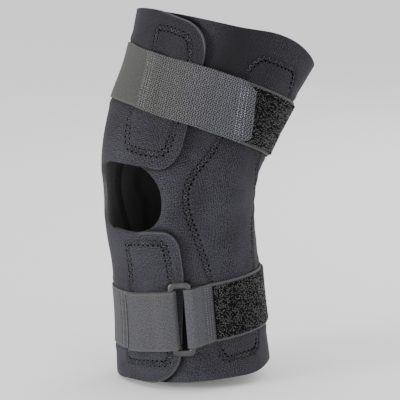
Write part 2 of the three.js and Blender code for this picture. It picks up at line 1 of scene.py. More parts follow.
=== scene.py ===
"""Looks of a hinged neoprene knee brace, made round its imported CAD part.

Lengths in the classes are millimetres and angles are degrees round the leg, as in the part's source: 0 is the
front, 90 the outer side, 180 the back. Meshes are in metres, in the part's own frame.
"""

import json
import logging
import math
from dataclasses import dataclass, field
from enum import Enum
from typing import Callable, Sequence

import bmesh
import bpy
import numpy as np
from mathutils import Matrix, Vector, noise
from mathutils.kdtree import KDTree

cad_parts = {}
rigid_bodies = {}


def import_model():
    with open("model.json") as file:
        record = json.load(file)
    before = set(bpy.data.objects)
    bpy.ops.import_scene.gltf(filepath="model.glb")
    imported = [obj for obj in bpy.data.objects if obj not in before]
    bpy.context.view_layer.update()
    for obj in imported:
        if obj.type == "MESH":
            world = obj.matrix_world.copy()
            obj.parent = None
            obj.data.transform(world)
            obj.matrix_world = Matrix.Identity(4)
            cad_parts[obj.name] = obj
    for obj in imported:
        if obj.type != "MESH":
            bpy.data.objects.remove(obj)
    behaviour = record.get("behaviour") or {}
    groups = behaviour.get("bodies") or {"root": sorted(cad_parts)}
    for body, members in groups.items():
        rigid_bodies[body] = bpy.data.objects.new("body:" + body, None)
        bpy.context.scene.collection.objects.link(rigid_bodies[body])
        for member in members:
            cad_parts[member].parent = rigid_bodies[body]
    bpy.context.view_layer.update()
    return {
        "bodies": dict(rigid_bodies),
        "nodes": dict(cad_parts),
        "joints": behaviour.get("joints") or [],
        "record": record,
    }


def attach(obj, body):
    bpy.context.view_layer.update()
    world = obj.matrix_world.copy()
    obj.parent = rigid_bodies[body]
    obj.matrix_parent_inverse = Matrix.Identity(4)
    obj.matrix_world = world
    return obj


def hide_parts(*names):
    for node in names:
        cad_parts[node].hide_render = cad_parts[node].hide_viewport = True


LOG = logging.getLogger("knee_brace")
MM = 0.001
SEED = 20
NEOPRENE = 3.2
WEBBING = 1.4
GAP = 0.45
ON_SLEEVE = 3.65
RING_ANGLE = 47.8
THREAD_TAPER = np.array([0.0, 1.0, 1.1, 1.0, 0.0])
THREAD_SIDES = 6

Colour = tuple[float, float, float, float]
Place = Callable[[np.ndarray, np.ndarray, np.ndarray], np.ndarray]
Offset = Callable[[np.ndarray], np.ndarray]
Edges = Callable[[np.ndarray], tuple[np.ndarray, np.ndarray]]


class Crowd(Enum):
    """Where evenly counted values crowd together."""

    NONE = "none"
    START = "start"
    END = "end"


class Side(Enum):
    """The two sides of the leg that carry a hinge."""

    OUTER = "outer"
    INNER = "inner"


POCKET_ANGLES = {Side.OUTER: 97.0, Side.INNER: 263.0}


def smoothstep(value: np.ndarray | float, low: float, high: float) -> np.ndarray:
    """A smooth rise from 0 at low to 1 at high."""
    share = np.clip((np.asarray(value, float) - low) / (high - low), 0.0, 1.0)
    return share * share * (3.0 - 2.0 * share)


def bell(distance: np.ndarray, width: float) -> np.ndarray:
    """A smooth hump that is 1 at distance 0."""
    return np.exp(-np.square(np.asarray(distance, float) / width))


def lerp(start: np.ndarray, end: np.ndarray, share: np.ndarray) -> np.ndarray:
    """The value a share of the way from start to end."""
    return start + (end - start) * share


def spread(start: float, end: float, count: int, crowd: Crowd = Crowd.NONE) -> np.ndarray:
    """Values from start up to, but not at, end.

    Args:
        start: The first value.
        end: The value that would follow the last.
        count: How many values there are.
        crowd: The end at which they crowd, as points on a quarter circle do.

    Returns:
        The values in order.
    """
    even = np.arange(count) / count
    quarter = even * math.pi / 2
    shares = {Crowd.NONE: even, Crowd.START: 1 - np.cos(quarter), Crowd.END: np.sin(quarter)}
    return lerp(start, end, shares[crowd])


@dataclass(frozen=True)
class LegForm:
    """The leg that the brace is shaped on, whose space stays open."""

    thigh_length: float = 134.0
    calf_length: float = 154.0
    knee_width: float = 110.0
    knee_depth: float = 122.0
    thigh_lean: float = 21.0
    calf_lean: float = 5.5
    bend_length: float = 90.0
    section_power: float = 2.25
    outer_fullness: float = 2.0
    inner_fullness: float = 1.8
    widths: tuple[float, ...] = (1.03, 0.965, 0.965, 0.985, 1.05, 1.15, 1.3)
    fronts: tuple[float, ...] = (0.91, 0.845, 0.875, 1.045, 1.14, 1.055, 1.07)
    backs: tuple[float, ...] = (0.985, 0.94, 0.92, 0.86, 0.84, 0.98, 1.175)

    def table_value(self, rows: Sequence[float], along: np.ndarray) -> np.ndarray:
        """A smooth curve through evenly spaced rows.

        Args:
            rows: The values from the lower rim to the upper one.
            along: The place, from -1 at the lower rim to 1 at the upper one.

        Returns:
            The curve's value at each place.
        """
        table = np.asarray(rows, float)
        last = len(table) - 1
        place = np.clip((np.asarray(along, float) + 1) / 2 * last, 0, last)
        index = np.minimum(np.floor(place).astype(int), last - 1)
        t = place - index
        before, start = table[np.clip(index - 1, 0, last)], table[index]
        end, after = table[index + 1], table[np.clip(index + 2, 0, last)]
        slope_start = np.where(index == 0, end - start, (end - before) / 2)
        slope_end = np.where(index == last - 1, end - start, (after - start) / 2)
        return (
            (2 * t**3 - 3 * t**2 + 1) * start
            + (t**3 - 2 * t**2 + t) * slope_start
            + (3 * t**2 - 2 * t**3) * end
            + (t**3 - t**2) * slope_end
        )

    def share_of(self, height: np.ndarray) -> np.ndarray:
        """A height along the leg as a share of the thigh's or the calf's length."""
        height = np.asarray(height, float)
        return np.where(height >= 0, height / self.thigh_length, height / self.calf_length)

    def section(self, height: np.ndarray) -> tuple[np.ndarray, np.ndarray, np.ndarray]:
        """The leg's half width, front depth and back depth at a height."""
        along = self.share_of(height)
        return (
            self.knee_width / 2 * self.table_value(self.widths, along),
            self.knee_depth / 2 * self.table_value(self.fronts, along),
            self.knee_depth / 2 * self.table_value(self.backs, along),
        )

    def lean(self, height: np.ndarray) -> np.ndarray:
        """The centreline's lean in radians at a height."""
        share = np.clip((np.asarray(height, float) + self.bend_length / 2) / self.bend_length, 0, 1)
        return np.radians(lerp(-self.calf_lean, self.thigh_lean, share))

    def fullness(self, angle: np.ndarray, height: np.ndarray) -> np.ndarray:
        """How far the worn brace stands off the plain form at the back of the thigh and at the front."""
        at_back = bell(np.mod(angle, 360) - 150, 24) * smoothstep(height, -5, 40)
        at_front = bell(np.mod(angle, 360) - 320, 22) * (1 - 0.6 * bell(height + 20, 30))
        return self.outer_fullness * at_back + self.inner_fullness * at_front

    def point(self, angle: np.ndarray, height: np.ndarray, offset: np.ndarray) -> np.ndarray:
        """Points round the leg.

        Args:
            angle: Degrees round the leg.
            height: Millimetres along the leg's centreline, up from the knee.
            offset: Millimetres out from the leg's skin.

        Returns:
            One row of three coordinates in metres for each point.
        """
        angle, height, offset = np.broadcast_arrays(*(np.asarray(a, float) for a in (angle, height, offset)))
        width, front, back = self.section(height)
        turn = np.radians(angle)
        roundness = 2 / self.section_power
        side = np.sign(np.sin(turn)) * np.abs(np.sin(turn)) ** roundness
        ahead = np.sign(np.cos(turn)) * np.abs(np.cos(turn)) ** roundness
        offset = offset + self.fullness(angle, height)
        depth = np.where(ahead >= 0, front, back) + offset
        lean, middle = self.lean(height), self.lean(0.0)
        radius = self.bend_length / math.radians(self.thigh_lean + self.calf_lean)
        beyond = height - np.clip(height, -self.bend_length / 2, self.bend_length / 2)
        y = radius * (np.cos(middle) - np.cos(lean)) + beyond * np.sin(lean) - depth * ahead * np.cos(lean)
        z = radius * (np.sin(lean) - np.sin(middle)) + beyond * np.cos(lean) + depth * ahead * np.sin(lean)
        return np.stack([(width + offset) * side, y, z], axis=-1) * MM

    def degrees_of(self, length: float, height: np.ndarray, wall: float = NEOPRENE) -> np.ndarray:
        """The angle that a length takes round the leg at a height."""
        width, front, _ = self.section(height)
        return np.degrees(length / ((width + front) / 2 + wall))


def unit(vectors: np.ndarray) -> np.ndarray:
    """The vectors with a length of 1."""
    return vectors / np.maximum(np.linalg.norm(vectors, axis=-1, keepdims=True), 1e-12)


def grid_bmesh(columns: int, rows: int) -> tuple[bmesh.types.BMesh, np.ndarray, np.ndarray]:
    """A flat grid of faces to be laid on a shape.

    Args:
        columns: How many faces it has across.
        rows: How many faces it has up.

    Returns:
        The grid, and the column and the row of each of its vertices.
    """
    bm = bmesh.new()
    bmesh.ops.create_grid(bm, x_segments=columns, y_segments=rows, size=1.0)
    flat = np.array([v.co[:2] for v in bm.verts])
    i = np.rint((flat[:, 0] + 1) / 2 * columns).astype(int)
    j = np.rint((flat[:, 1] + 1) / 2 * rows).astype(int)
    return bm, i, j


def lay_out(bm: bmesh.types.BMesh, points: np.ndarray, uv: np.ndarray | None = None, **tones: np.ndarray) -> None:
    """Moves a grid's vertices to their places.

    Args:
        bm: The grid.
        points: A place in metres for each vertex.
        uv: The cloth's own flat coordinates in metres for each vertex.
        tones: Named values for each vertex, which the materials read.
    """
    layers = {name: bm.verts.layers.float.new(name) for name in tones}
    for k, vertex in enumerate(bm.verts):
        vertex.co = points[k]
        for name, layer in layers.items():
            vertex[layer] = float(tones[name][k])
    if uv is not None:
        layer = bm.loops.layers.uv.new("cloth")
        bm.verts.index_update()
        for face in bm.faces:
            for loop in face.loops:
                loop[layer].uv = uv[loop.vert.index]


def make_piece(name: str, bm: bmesh.types.BMesh, materials: Sequence[bpy.types.Material]) -> bpy.types.Object:
    """A smooth object from a finished bmesh, with its place in its mesh.

    Args:
        name: The piece's name.
        bm: The mesh, which is freed.
        materials: Its finishes, the first for every face.

    Returns:
        The new object.
    """
    mesh = bpy.data.meshes.new(name)
    bm.to_mesh(mesh)
    bm.free()
    mesh.shade_smooth()
    for material in materials:
        mesh.materials.append(material)
    piece = bpy.data.objects.new(name, mesh)
    bpy.context.scene.collection.objects.link(piece)
    return piece


def thicken(piece: bpy.types.Object, thickness: float, offset: float, rim: int = 0, inner: int = 0) -> None:
    """Gives a sheet its wall.

    Args:
        piece: The sheet.
        thickness: The wall in millimetres.
        offset: -1 for a wall inwards from the sheet, 0 for one on both sides of it.
        rim: The rim's material, counted from the sheet's own.
        inner: The inner face's material, counted from the sheet's own.
    """
    wall = piece.modifiers.new("wall", "SOLIDIFY")
    wall.thickness = thickness * MM
    wall.offset = offset
    wall.material_offset_rim = rim
    wall.material_offset = inner


def soften(piece: bpy.types.Object, width: float) -> None:
    """Rounds a piece's sharp edges by a width in millimetres."""
    rounding = piece.modifiers.new("rounding", "BEVEL")
    rounding.width = width * MM
    rounding.segments = 2
    rounding.limit_method = "ANGLE"
    rounding.angle_limit = math.radians(50)
    rounding.profile = 0.5


def settle(piece: bpy.types.Object, slot: str, *nodes: str) -> bpy.types.Object:
    """Joins a piece to the brace's one body.

    Args:
        piece: The finished piece.
        slot: The record's material slot of the piece; not used.
        nodes: The CAD nodes that it stands for.

    Returns:
        The piece.
    """
    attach(piece, "root")
    if nodes:
        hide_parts(*nodes)
    graph = bpy.context.evaluated_depsgraph_get()
    mesh = piece.evaluated_get(graph).to_mesh()
    mesh.calc_loop_triangles()
    LOG.info("%s: %d triangles", piece.name, len(mesh.loop_triangles))
    piece.evaluated_get(graph).to_mesh_clear()
    return piece


def strands_piece(
    name: str, centres: np.ndarray, normals: np.ndarray, radii: np.ndarray, around: int, material: bpy.types.Material
) -> bpy.types.Object:
    """Many short closed strands of thread in one mesh.

    Args:
        name: The piece's name.
        centres: For each strand the points of its middle line, in metres.
        normals: For each strand the direction away from the cloth.
        radii: The strand's radius in metres at each of its points, 0 at both ends.
        around: How many sides a strand has.
        material: The thread's finish.

    Returns:
        The new object.
    """
    count, stations = centres.shape[:2]
    bm, i, j = grid_bmesh(around, count * stations - 1)
    bm.verts.index_update()
    between = [f for f in bm.faces if min(j[v.index] for v in f.verts) % stations == stations - 1]
    bmesh.ops.delete(bm, geom=between, context="FACES_ONLY")
    strand, station = j // stations, j % stations
    along = unit(np.gradient(centres, axis=1))[strand, station]
    out = normals[strand]
    across = unit(np.cross(along, out))
    out = np.cross(across, along)
    turn = 2 * math.pi * (i % around) / around
    reach = radii[station][:, None]
    points = centres[strand, station] + reach * (np.cos(turn)[:, None] * across - np.sin(turn)[:, None] * out)
    tone = np.random.default_rng(SEED).random(count)[strand]
    lay_out(bm, points, tone=tone)
    bmesh.ops.remove_doubles(bm, verts=bm.verts, dist=2e-6)
    bmesh.ops.recalc_face_normals(bm, faces=bm.faces)
    return make_piece(name, bm, [material])


class Shader:
    """One material's nodes, which end in its main shader."""

    def __init__(self, name: str, constants: dict[str, float | Colour]) -> None:
        """Starts a material.

        Args:
            name: The material's name.
            constants: Values set on the main shader's own sockets.
        """
        self.material = bpy.data.materials.new(name)
        self.material.use_nodes = True
        self.tree = self.material.node_tree
        self.main = self.tree.nodes["Principled BSDF"]
        for socket, value in constants.items():
            self.main.inputs[socket].default_value = value

    def node(self, kind: str, inputs: dict[str | int, object], **settings: object) -> bpy.types.Node:
        """Adds a node.

        Args:
            kind: The node's type.
            inputs: A value or another node's output for each named or numbered socket.
            settings: The node's own options.

        Returns:
            The new node.
        """
        made = self.tree.nodes.new(kind)
        for option, value in settings.items():
            setattr(made, option, value)
        for socket, value in inputs.items():
            if isinstance(value, bpy.types.NodeSocket):
                self.tree.links.new(value, made.inputs[socket])
            else:
                made.inputs[socket].default_value = value
        return made

    def math(self, operation: str, *values: object) -> bpy.types.NodeSocket:
        """The result of a sum on numbers or outputs."""
        return self.node("ShaderNodeMath", dict(enumerate(values)), operation=operation).outputs[0]

    def blend(self, first: object, share: float, second: object, rest: float) -> bpy.types.NodeSocket:
        """The sum of two values, each taken by its own share."""
        return self.math("MULTIPLY_ADD", first, share, self.math("MULTIPLY", second, rest))

    def mix(self, share: object, low: object, high: object) -> bpy.types.NodeSocket:
        """A colour between two colours."""
        return self.node("ShaderNodeMix", {0: share, 6: low, 7: high}, data_type="RGBA").outputs[2]

    def cloth(self) -> tuple[bpy.types.NodeSocket, bpy.types.NodeSocket, bpy.types.NodeSocket]:
        """The cloth's flat coordinates in millimetres, together and apart."""
        flat = self.node("ShaderNodeUVMap", {}, uv_map="cloth").outputs[0]
        scaled = self.node("ShaderNodeVectorMath", {0: flat, 3: 1 / MM}, operation="SCALE").outputs[0]
        parts = self.node("ShaderNodeSeparateXYZ", {0: scaled})
        return scaled, parts.outputs[0], parts.outputs[1]

    def place(self) -> bpy.types.NodeSocket:
        """The place on the object in millimetres."""
        place = self.node("ShaderNodeTexCoord", {}).outputs["Object"]
        return self.node("ShaderNodeVectorMath", {0: place, 3: 1 / MM}, operation="SCALE").outputs[0]

    def grain(self, where: object, size: float, detail: float = 2.0) -> bpy.types.NodeSocket:
        """A soft random pattern whose blots have a size in millimetres."""
        inputs = {"Vector": where, "Scale": 1 / size, "Detail": detail, "Roughness": 0.6}
        return self.node("ShaderNodeTexNoise", inputs).outputs[0]

    def ridge(self, along: object, period: float, shift: object = 0.0) -> bpy.types.NodeSocket:
        """Rounded ridges of a period in millimetres, from 0 to 1."""
        turn = self.math("MULTIPLY_ADD", along, 2 * math.pi / period, shift)
        return self.math("MULTIPLY_ADD", self.math("SINE", turn), 0.5, 0.5)

    def tone(self, name: str) -> bpy.types.NodeSocket:
        """A value that the mesh carries for each vertex."""
        return self.node("ShaderNodeAttribute", {}, attribute_name=name).outputs["Fac"]

    def between(self, value: object, low: float, high: float) -> bpy.types.NodeSocket:
        """A smooth rise from 0 to 1 as a value goes from low to high."""
        inputs = {0: value, 1: low, 2: high}
        return self.node("ShaderNodeMapRange", inputs, interpolation_type="SMOOTHSTEP").outputs[0]

    def colour(self, colour: object) -> None:
        """Joins a colour to the main shader."""
        self.tree.links.new(colour, self.main.inputs["Base Color"])

    def roughness(self, value: object) -> None:
        """Joins a roughness to the main shader."""
        self.tree.links.new(value, self.main.inputs["Roughness"])

    def relief(self, height: object, depth: float, strength: float = 1.0) -> None:
        """Joins a fine relief of a depth in millimetres to the main shader."""
        inputs = {"Height": height, "Distance": depth * MM, "Strength": strength}
        bump = self.node("ShaderNodeBump", inputs)
        self.tree.links.new(bump.outputs[0], self.main.inputs["Normal"])


def grey(value: float, blue: float = 1.0, red: float = 1.0) -> Colour:
    """A grey, with its blue and red made stronger or weaker."""
    return (value * red, value, value * blue, 1.0)


@dataclass(frozen=True)
class JerseyFinish:
    """The fine knit that covers the neoprene, with painted shade and a painted edge highlight on it."""

    name: str = "jersey"
    dark: Colour = grey(0.0008, 1.35, 1.0)
    light: Colour = grey(0.055, 1.3, 1.04)
    # Pale colour along the flaps' free edges: partly the cut edge, partly painted highlight.
    pale_edge_and_highlight: Colour = grey(0.09, 1.08, 0.98)
    # The near-black that the painted shade and the painted shade in seam grooves darken the knit towards.
    seam: Colour = grey(0.002, 1.1)
    wale: float = 1.25
    course: float = 1.05
    drift_size: float = 2.6
    fuzz_size: float = 0.8
    blot_size: float = 30.0
    depth: float = 0.12

    def material(self) -> bpy.types.Material:
        """The finish as a material."""
        constants = {"Roughness": 0.92, "Specular IOR Level": 0.2, "Sheen Weight": 0.03, "Sheen Roughness": 0.4}
        shader = Shader(self.name, constants)
        cloth, u, v = shader.cloth()
        drift = shader.math("MULTIPLY", shader.grain(cloth, self.drift_size), 7.0)
        wales = shader.ridge(u, self.wale, drift)
        courses = shader.ridge(v, self.course, drift)
        knit = shader.math("MULTIPLY", wales, courses)
        fuzz = shader.grain(cloth, self.fuzz_size)
        blots = shader.grain(cloth, self.blot_size, 3.0)
        speck = shader.blend(knit, 0.25, fuzz, 0.85)
        share = shader.math("ADD", shader.math("MULTIPLY", speck, 0.9), shader.math("MULTIPLY", blots, 0.14))
        base = shader.mix(shader.between(share, 0.4, 0.7), self.dark, self.light)
        # Painted shade: the sleeve's shade value darkens the knit beside and under the flaps, up the thigh and in
        # the ring's slot.
        base = shader.mix(shader.math("MULTIPLY", shader.tone("shade"), 0.72), base, self.seam)
        # Painted shade in the seams' grooves.
        base = shader.mix(shader.math("MULTIPLY", shader.tone("groove"), 0.6), base, self.seam)
        # Painted highlight, partly the paler cut edge, along the flaps' free edges.
        shader.colour(shader.mix(shader.math("MULTIPLY", shader.tone("edge"), 0.6), base, self.pale_edge_and_highlight))
        shader.relief(speck, self.depth)
        return shader.material


@dataclass(frozen=True)
class FoamFinish:
    """The cut edge of the neoprene, where the foam shows."""

    name: str = "foam_edge"
    core: Colour = grey(0.04, 1.05)
    pore: Colour = grey(0.012, 1.05)
    pore_size: float = 0.4
    depth: float = 0.15

    def material(self) -> bpy.types.Material:
        """The finish as a material."""
        shader = Shader(self.name, {"Roughness": 0.75})
        pores = shader.grain(shader.place(), self.pore_size, 3.0)
        shader.colour(shader.mix(shader.between(pores, 0.35, 0.6), self.pore, self.core))
        shader.relief(pores, self.depth)
        return shader.material


@dataclass(frozen=True)
class LiningFinish:
    """The brushed nylon inside the brace and on its pockets."""

    name: str = "lining"
    dark: Colour = grey(0.004, 1.1)
    light: Colour = grey(0.014, 1.15)
    loop: float = 1.3
    drift_size: float = 3.0
    nap_size: float = 0.8
    depth: float = 0.2

    def material(self) -> bpy.types.Material:
        """The finish as a material."""
        shader = Shader(self.name, {"Roughness": 0.92, "Sheen Weight": 0.2, "Sheen Roughness": 0.5})
        cloth, u, v = shader.cloth()
        drift = shader.math("MULTIPLY", shader.grain(cloth, self.drift_size), 3.0)
        loops = shader.math("MULTIPLY", shader.ridge(u, self.loop, drift), shader.ridge(v, self.loop, drift))
        nap = shader.grain(cloth, self.nap_size, 3.0)
        share = shader.blend(loops, 0.5, nap, 0.7)
        shader.colour(shader.mix(shader.between(share, 0.25, 0.9), self.dark, self.light))
        shader.relief(share, self.depth)
        return shader.material


@dataclass(frozen=True)
class WebbingFinish:
    """Flat woven webbing."""

    name: str = "webbing"
    dark: Colour = grey(0.01, 0.9, 0.98)
    light: Colour = grey(0.05, 0.9, 0.98)
    selvedge: Colour = grey(0.045, 0.95, 1.0)
    pick: float = 1.3
    warp: float = 1.1
    half_width: float = 25.0
    fuzz_size: float = 1.4
    selvedge_width: float = 1.4
    selvedge_blend: float = 1.0
    depth: float = 0.3

    def material(self) -> bpy.types.Material:
        """The finish as a material."""
        constants = {"Roughness": 0.8, "Specular IOR Level": 0.35, "Sheen Weight": 0.05, "Sheen Roughness": 0.5}
        shader = Shader(self.name, constants)
        cloth, u, v = shader.cloth()
        twill = shader.math("MULTIPLY", v, 2 * math.pi / self.warp * 0.5)
        picks = shader.ridge(u, self.pick, twill)
        warps = shader.ridge(v, self.warp)
        weave = shader.blend(picks, 0.6, warps, 0.4)
        fuzz = shader.grain(cloth, self.fuzz_size, 3.0)
        share = shader.blend(fuzz, 0.7, weave, 0.5)
        base = shader.mix(shader.between(share, 0.47, 0.73), self.dark, self.light)
        from_middle = shader.math("ABSOLUTE", v)
        edge_from = self.half_width - self.selvedge_width
        edge = shader.between(from_middle, edge_from - self.selvedge_blend, edge_from)
        shader.colour(shader.mix(shader.math("MULTIPLY", edge, 0.6), base, self.selvedge))
        shader.relief(weave, self.depth)
        return shader.material


@dataclass(frozen=True)
class ElasticFinish:
    """Ribbed woven elastic, bluer towards its tip."""

    name: str = "elastic"
    valley: Colour = grey(0.001, 1.0)
    rib: Colour = grey(0.07, 0.98)
    cool_valley: Colour = grey(0.001, 1.25)
    cool_rib: Colour = grey(0.078, 1.25)
    rib_period: float = 2.1
    cord_period: float = 1.6
    cool_from: float = 20.0
    cool_to: float = 85.0
    drift_size: float = 4.5
    fuzz_size: float = 1.5
    depth: float = 0.8

    def material(self) -> bpy.types.Material:
        """The finish as a material."""
        constants = {"Roughness": 0.75, "Specular IOR Level": 0.35, "Sheen Weight": 0.05, "Sheen Roughness": 0.4}
        shader = Shader(self.name, constants)
        cloth, u, v = shader.cloth()
        drift = shader.math("MULTIPLY", shader.grain(cloth, self.drift_size), 6.0)
        half_turn = shader.math("MULTIPLY", shader.ridge(v, 2 * self.cord_period), math.pi)
        ribs = shader.ridge(u, self.rib_period, shader.math("ADD", drift, half_turn))
        cords = shader.ridge(v, self.cord_period, drift)
        weave = shader.blend(ribs, 0.55, cords, 0.45)
        fuzz = shader.grain(cloth, self.fuzz_size)
        share = shader.blend(fuzz, 0.5, weave, 0.7)
        cool = shader.between(u, self.cool_from, self.cool_to)
        low = shader.mix(cool, self.valley, self.cool_valley)
        high = shader.mix(cool, self.rib, self.cool_rib)
        shader.colour(shader.mix(shader.between(share, 0.47, 0.72), low, high))
        shader.relief(weave, self.depth)
        return shader.material


@dataclass(frozen=True)
class PileFinish:
    """Black loop pile, with paler loops among the black ones."""

    name: str = "loop_pile"
    dark: Colour = grey(0.002)
    pale: Colour = grey(0.2)
    pale_from: float = 0.36
    mottle_size: float = 0.6
    depth: float = 0.08

    def material(self) -> bpy.types.Material:
        """The finish as a material."""
        shader = Shader(self.name, {"Roughness": 0.7, "Specular IOR Level": 0.08})
        share = shader.between(shader.tone("tone"), self.pale_from - 0.08, self.pale_from + 0.25)
        mottle = shader.grain(shader.place(), self.mottle_size)
        share = shader.math("MULTIPLY", share, shader.between(mottle, 0.25, 0.6))
        shader.colour(shader.mix(share, self.dark, self.pale))
        shader.relief(mottle, self.depth)
        return shader.material


@dataclass(frozen=True)
class ThreadFinish:
    """Twisted sewing thread, and the near-black painted shade of a needle hole, which has no gloss."""

    name: str
    dark: Colour
    light: Colour
    gloss: float = 0.3
    twist_size: float = 0.35
    depth: float = 0.1

    def material(self) -> bpy.types.Material:
        """The finish as a material."""
        shader = Shader(self.name, {"Roughness": 0.6, "Specular IOR Level": self.gloss})
        twist = shader.grain(shader.place(), self.twist_size)
        share = shader.blend(shader.tone("tone"), 0.6, twist, 0.4)
        shader.colour(shader.mix(share, self.dark, self.light))
        shader.relief(twist, self.depth)
        return shader.material


@dataclass(frozen=True)
class MouldedFinish:
    """Fine-grained moulded plastic, paler and darker in soft random blots."""

    name: str
    dark: Colour
    light: Colour
    roughness: float
    fine_size: float = 0.5
    broad_size: float = 9.0
    depth: float = 0.04

    def material(self) -> bpy.types.Material:
        """The finish as a material."""
        shader = Shader(self.name, {"Roughness": self.roughness})
        place = shader.place()
        fine, broad = shader.grain(place, self.fine_size, 3.0), shader.grain(place, self.broad_size)
        share = shader.blend(fine, 0.4, broad, 0.6)
        shader.colour(shader.mix(shader.between(share, 0.3, 0.7), self.dark, self.light))
        shader.roughness(shader.math("MULTIPLY_ADD", fine, 0.15, self.roughness - 0.05))
        shader.relief(fine, self.depth)
        return shader.material


@dataclass(frozen=True)
class StayFinish:
    """The hinge stays' brushed metal."""

    name: str = "stay_steel"
    dark: Colour = grey(0.32)
    light: Colour = grey(0.52)
    brush_size: float = 0.5
    stretch: float = 0.06
    depth: float = 0.02

    def material(self) -> bpy.types.Material:
        """The finish as a material."""
        shader = Shader(self.name, {"Metallic": 1.0, "Roughness": 0.35})
        stretched = shader.node("ShaderNodeMapping", {0: shader.place(), 3: (1.0, 1.0, self.stretch)}).outputs[0]
        brushed = shader.grain(stretched, self.brush_size, 4.0)
        shader.colour(shader.mix(brushed, self.dark, self.light))
        shader.roughness(shader.math("MULTIPLY_ADD", brushed, 0.25, 0.25))
        shader.relief(brushed, self.depth)
        return shader.material


@dataclass(frozen=True)
class FloorFinish:
    """The pale studio floor."""

    name: str = "studio_floor"
    pale: Colour = grey(0.86)

    def material(self) -> bpy.types.Material:
        """The finish as a material."""
        return Shader(self.name, {"Base Color": self.pale, "Roughness": 0.9}).material


@dataclass
class Seam:
    """A zigzag seam through the neoprene.

    Attributes:
        name: The seam's name.
        corners: Angle and height of each corner of its closed line.
        offset: How far out from the leg's skin its cloth is.
        width: The zigzag's width.
        pitch: The way between two needle holes along the line.
        thread: The thread's thickness.
        hole: The length of a needle hole's painted shade.
        smoothing: How many times its corners are rounded off.
        sink: How far it is drawn into the cloth.
    """

    name: str
    corners: Sequence[tuple[float, float]]
    offset: float
    width: float = 3.9
    pitch: float = 2.35
    thread: float = 0.5
    hole: float = 2.05
    smoothing: int = 10
    sink: float = 0.35

    def line(self, form: LegForm) -> tuple[np.ndarray, np.ndarray]:
        """The seam's middle line, evenly divided.

        Args:
            form: The leg that it lies round.

        Returns:
            Angles and heights of its points, half a pitch apart.
        """
        ring = np.array([*self.corners, self.corners[0]], float)
        for fine in (4, 1):
            ends = form.point(ring[:, 0], ring[:, 1], self.offset) / MM
            run = np.concatenate([[0], np.cumsum(np.linalg.norm(np.diff(ends, axis=0), axis=1))])
            count = max(4, round(run[-1] / (self.pitch / fine) / 2) * 2)
            at = np.linspace(0, run[-1], count + 1)
            ring = np.stack([np.interp(at, run, ring[:, 0]), np.interp(at, run, ring[:, 1])], axis=1)
            if fine > 1:
                open_ring = ring[:-1]
                for _ in range(self.smoothing):
                    open_ring = (np.roll(open_ring, 1, axis=0) + 2 * open_ring + np.roll(open_ring, -1, axis=0)) / 4
                ring = np.concatenate([open_ring, open_ring[:1]])
        return ring[:-1, 0], ring[:-1, 1]

    def build(self, form: LegForm, finishes: dict[str, bpy.types.Material]) -> None:
        """Sews the thread, and sinks a near-black strand into each needle hole as its painted shade.

        Args:
            form: The leg that the seam lies round.
            finishes: The materials by name.
        """
        angle, height = self.line(form)
        base = form.point(angle, height, self.offset - self.sink)
        out = unit(form.point(angle, height, self.offset + 1.0) - base)
        along = unit(np.roll(base, -1, axis=0) - np.roll(base, 1, axis=0))
        across = unit(np.cross(along, out))
        swing = np.where(np.arange(len(base)) % 2 == 0, 0.5, -0.5)[:, None] * self.width * MM
        holes = base + across * swing
        ahead = np.roll(holes, -1, axis=0)
        arch = np.array([-0.55, 0.18, 0.3, 0.18, -0.55]) * MM
        share = np.array([0.0, 0.12, 0.5, 0.88, 1.0])
        centres = holes[:, None] + (ahead - holes)[:, None] * share[None, :, None]
        centres = centres + out[:, None] * arch[None, :, None]
        radii = THREAD_TAPER * self.thread / 2 * MM
        settle(strands_piece(self.name, centres, out, radii, THREAD_SIDES, finishes["thread"]), "neoprene")
        # Painted shade: a near-black strand sunk at each needle hole.
        reach = np.array([-0.5, -0.3, 0.0, 0.3, 0.5]) * self.hole * MM
        holes = holes + across * np.sign(swing) * 0.3 * MM - out * 0.2 * MM
        pits = holes[:, None] + along[:, None] * reach[None, :, None]
        radii = np.array([0.0, 0.4, 0.48, 0.4, 0.0]) * self.hole * MM
        settle(strands_piece(f"{self.name}_holes", pits, out, radii, THREAD_SIDES, finishes["hole"]), "neoprene")


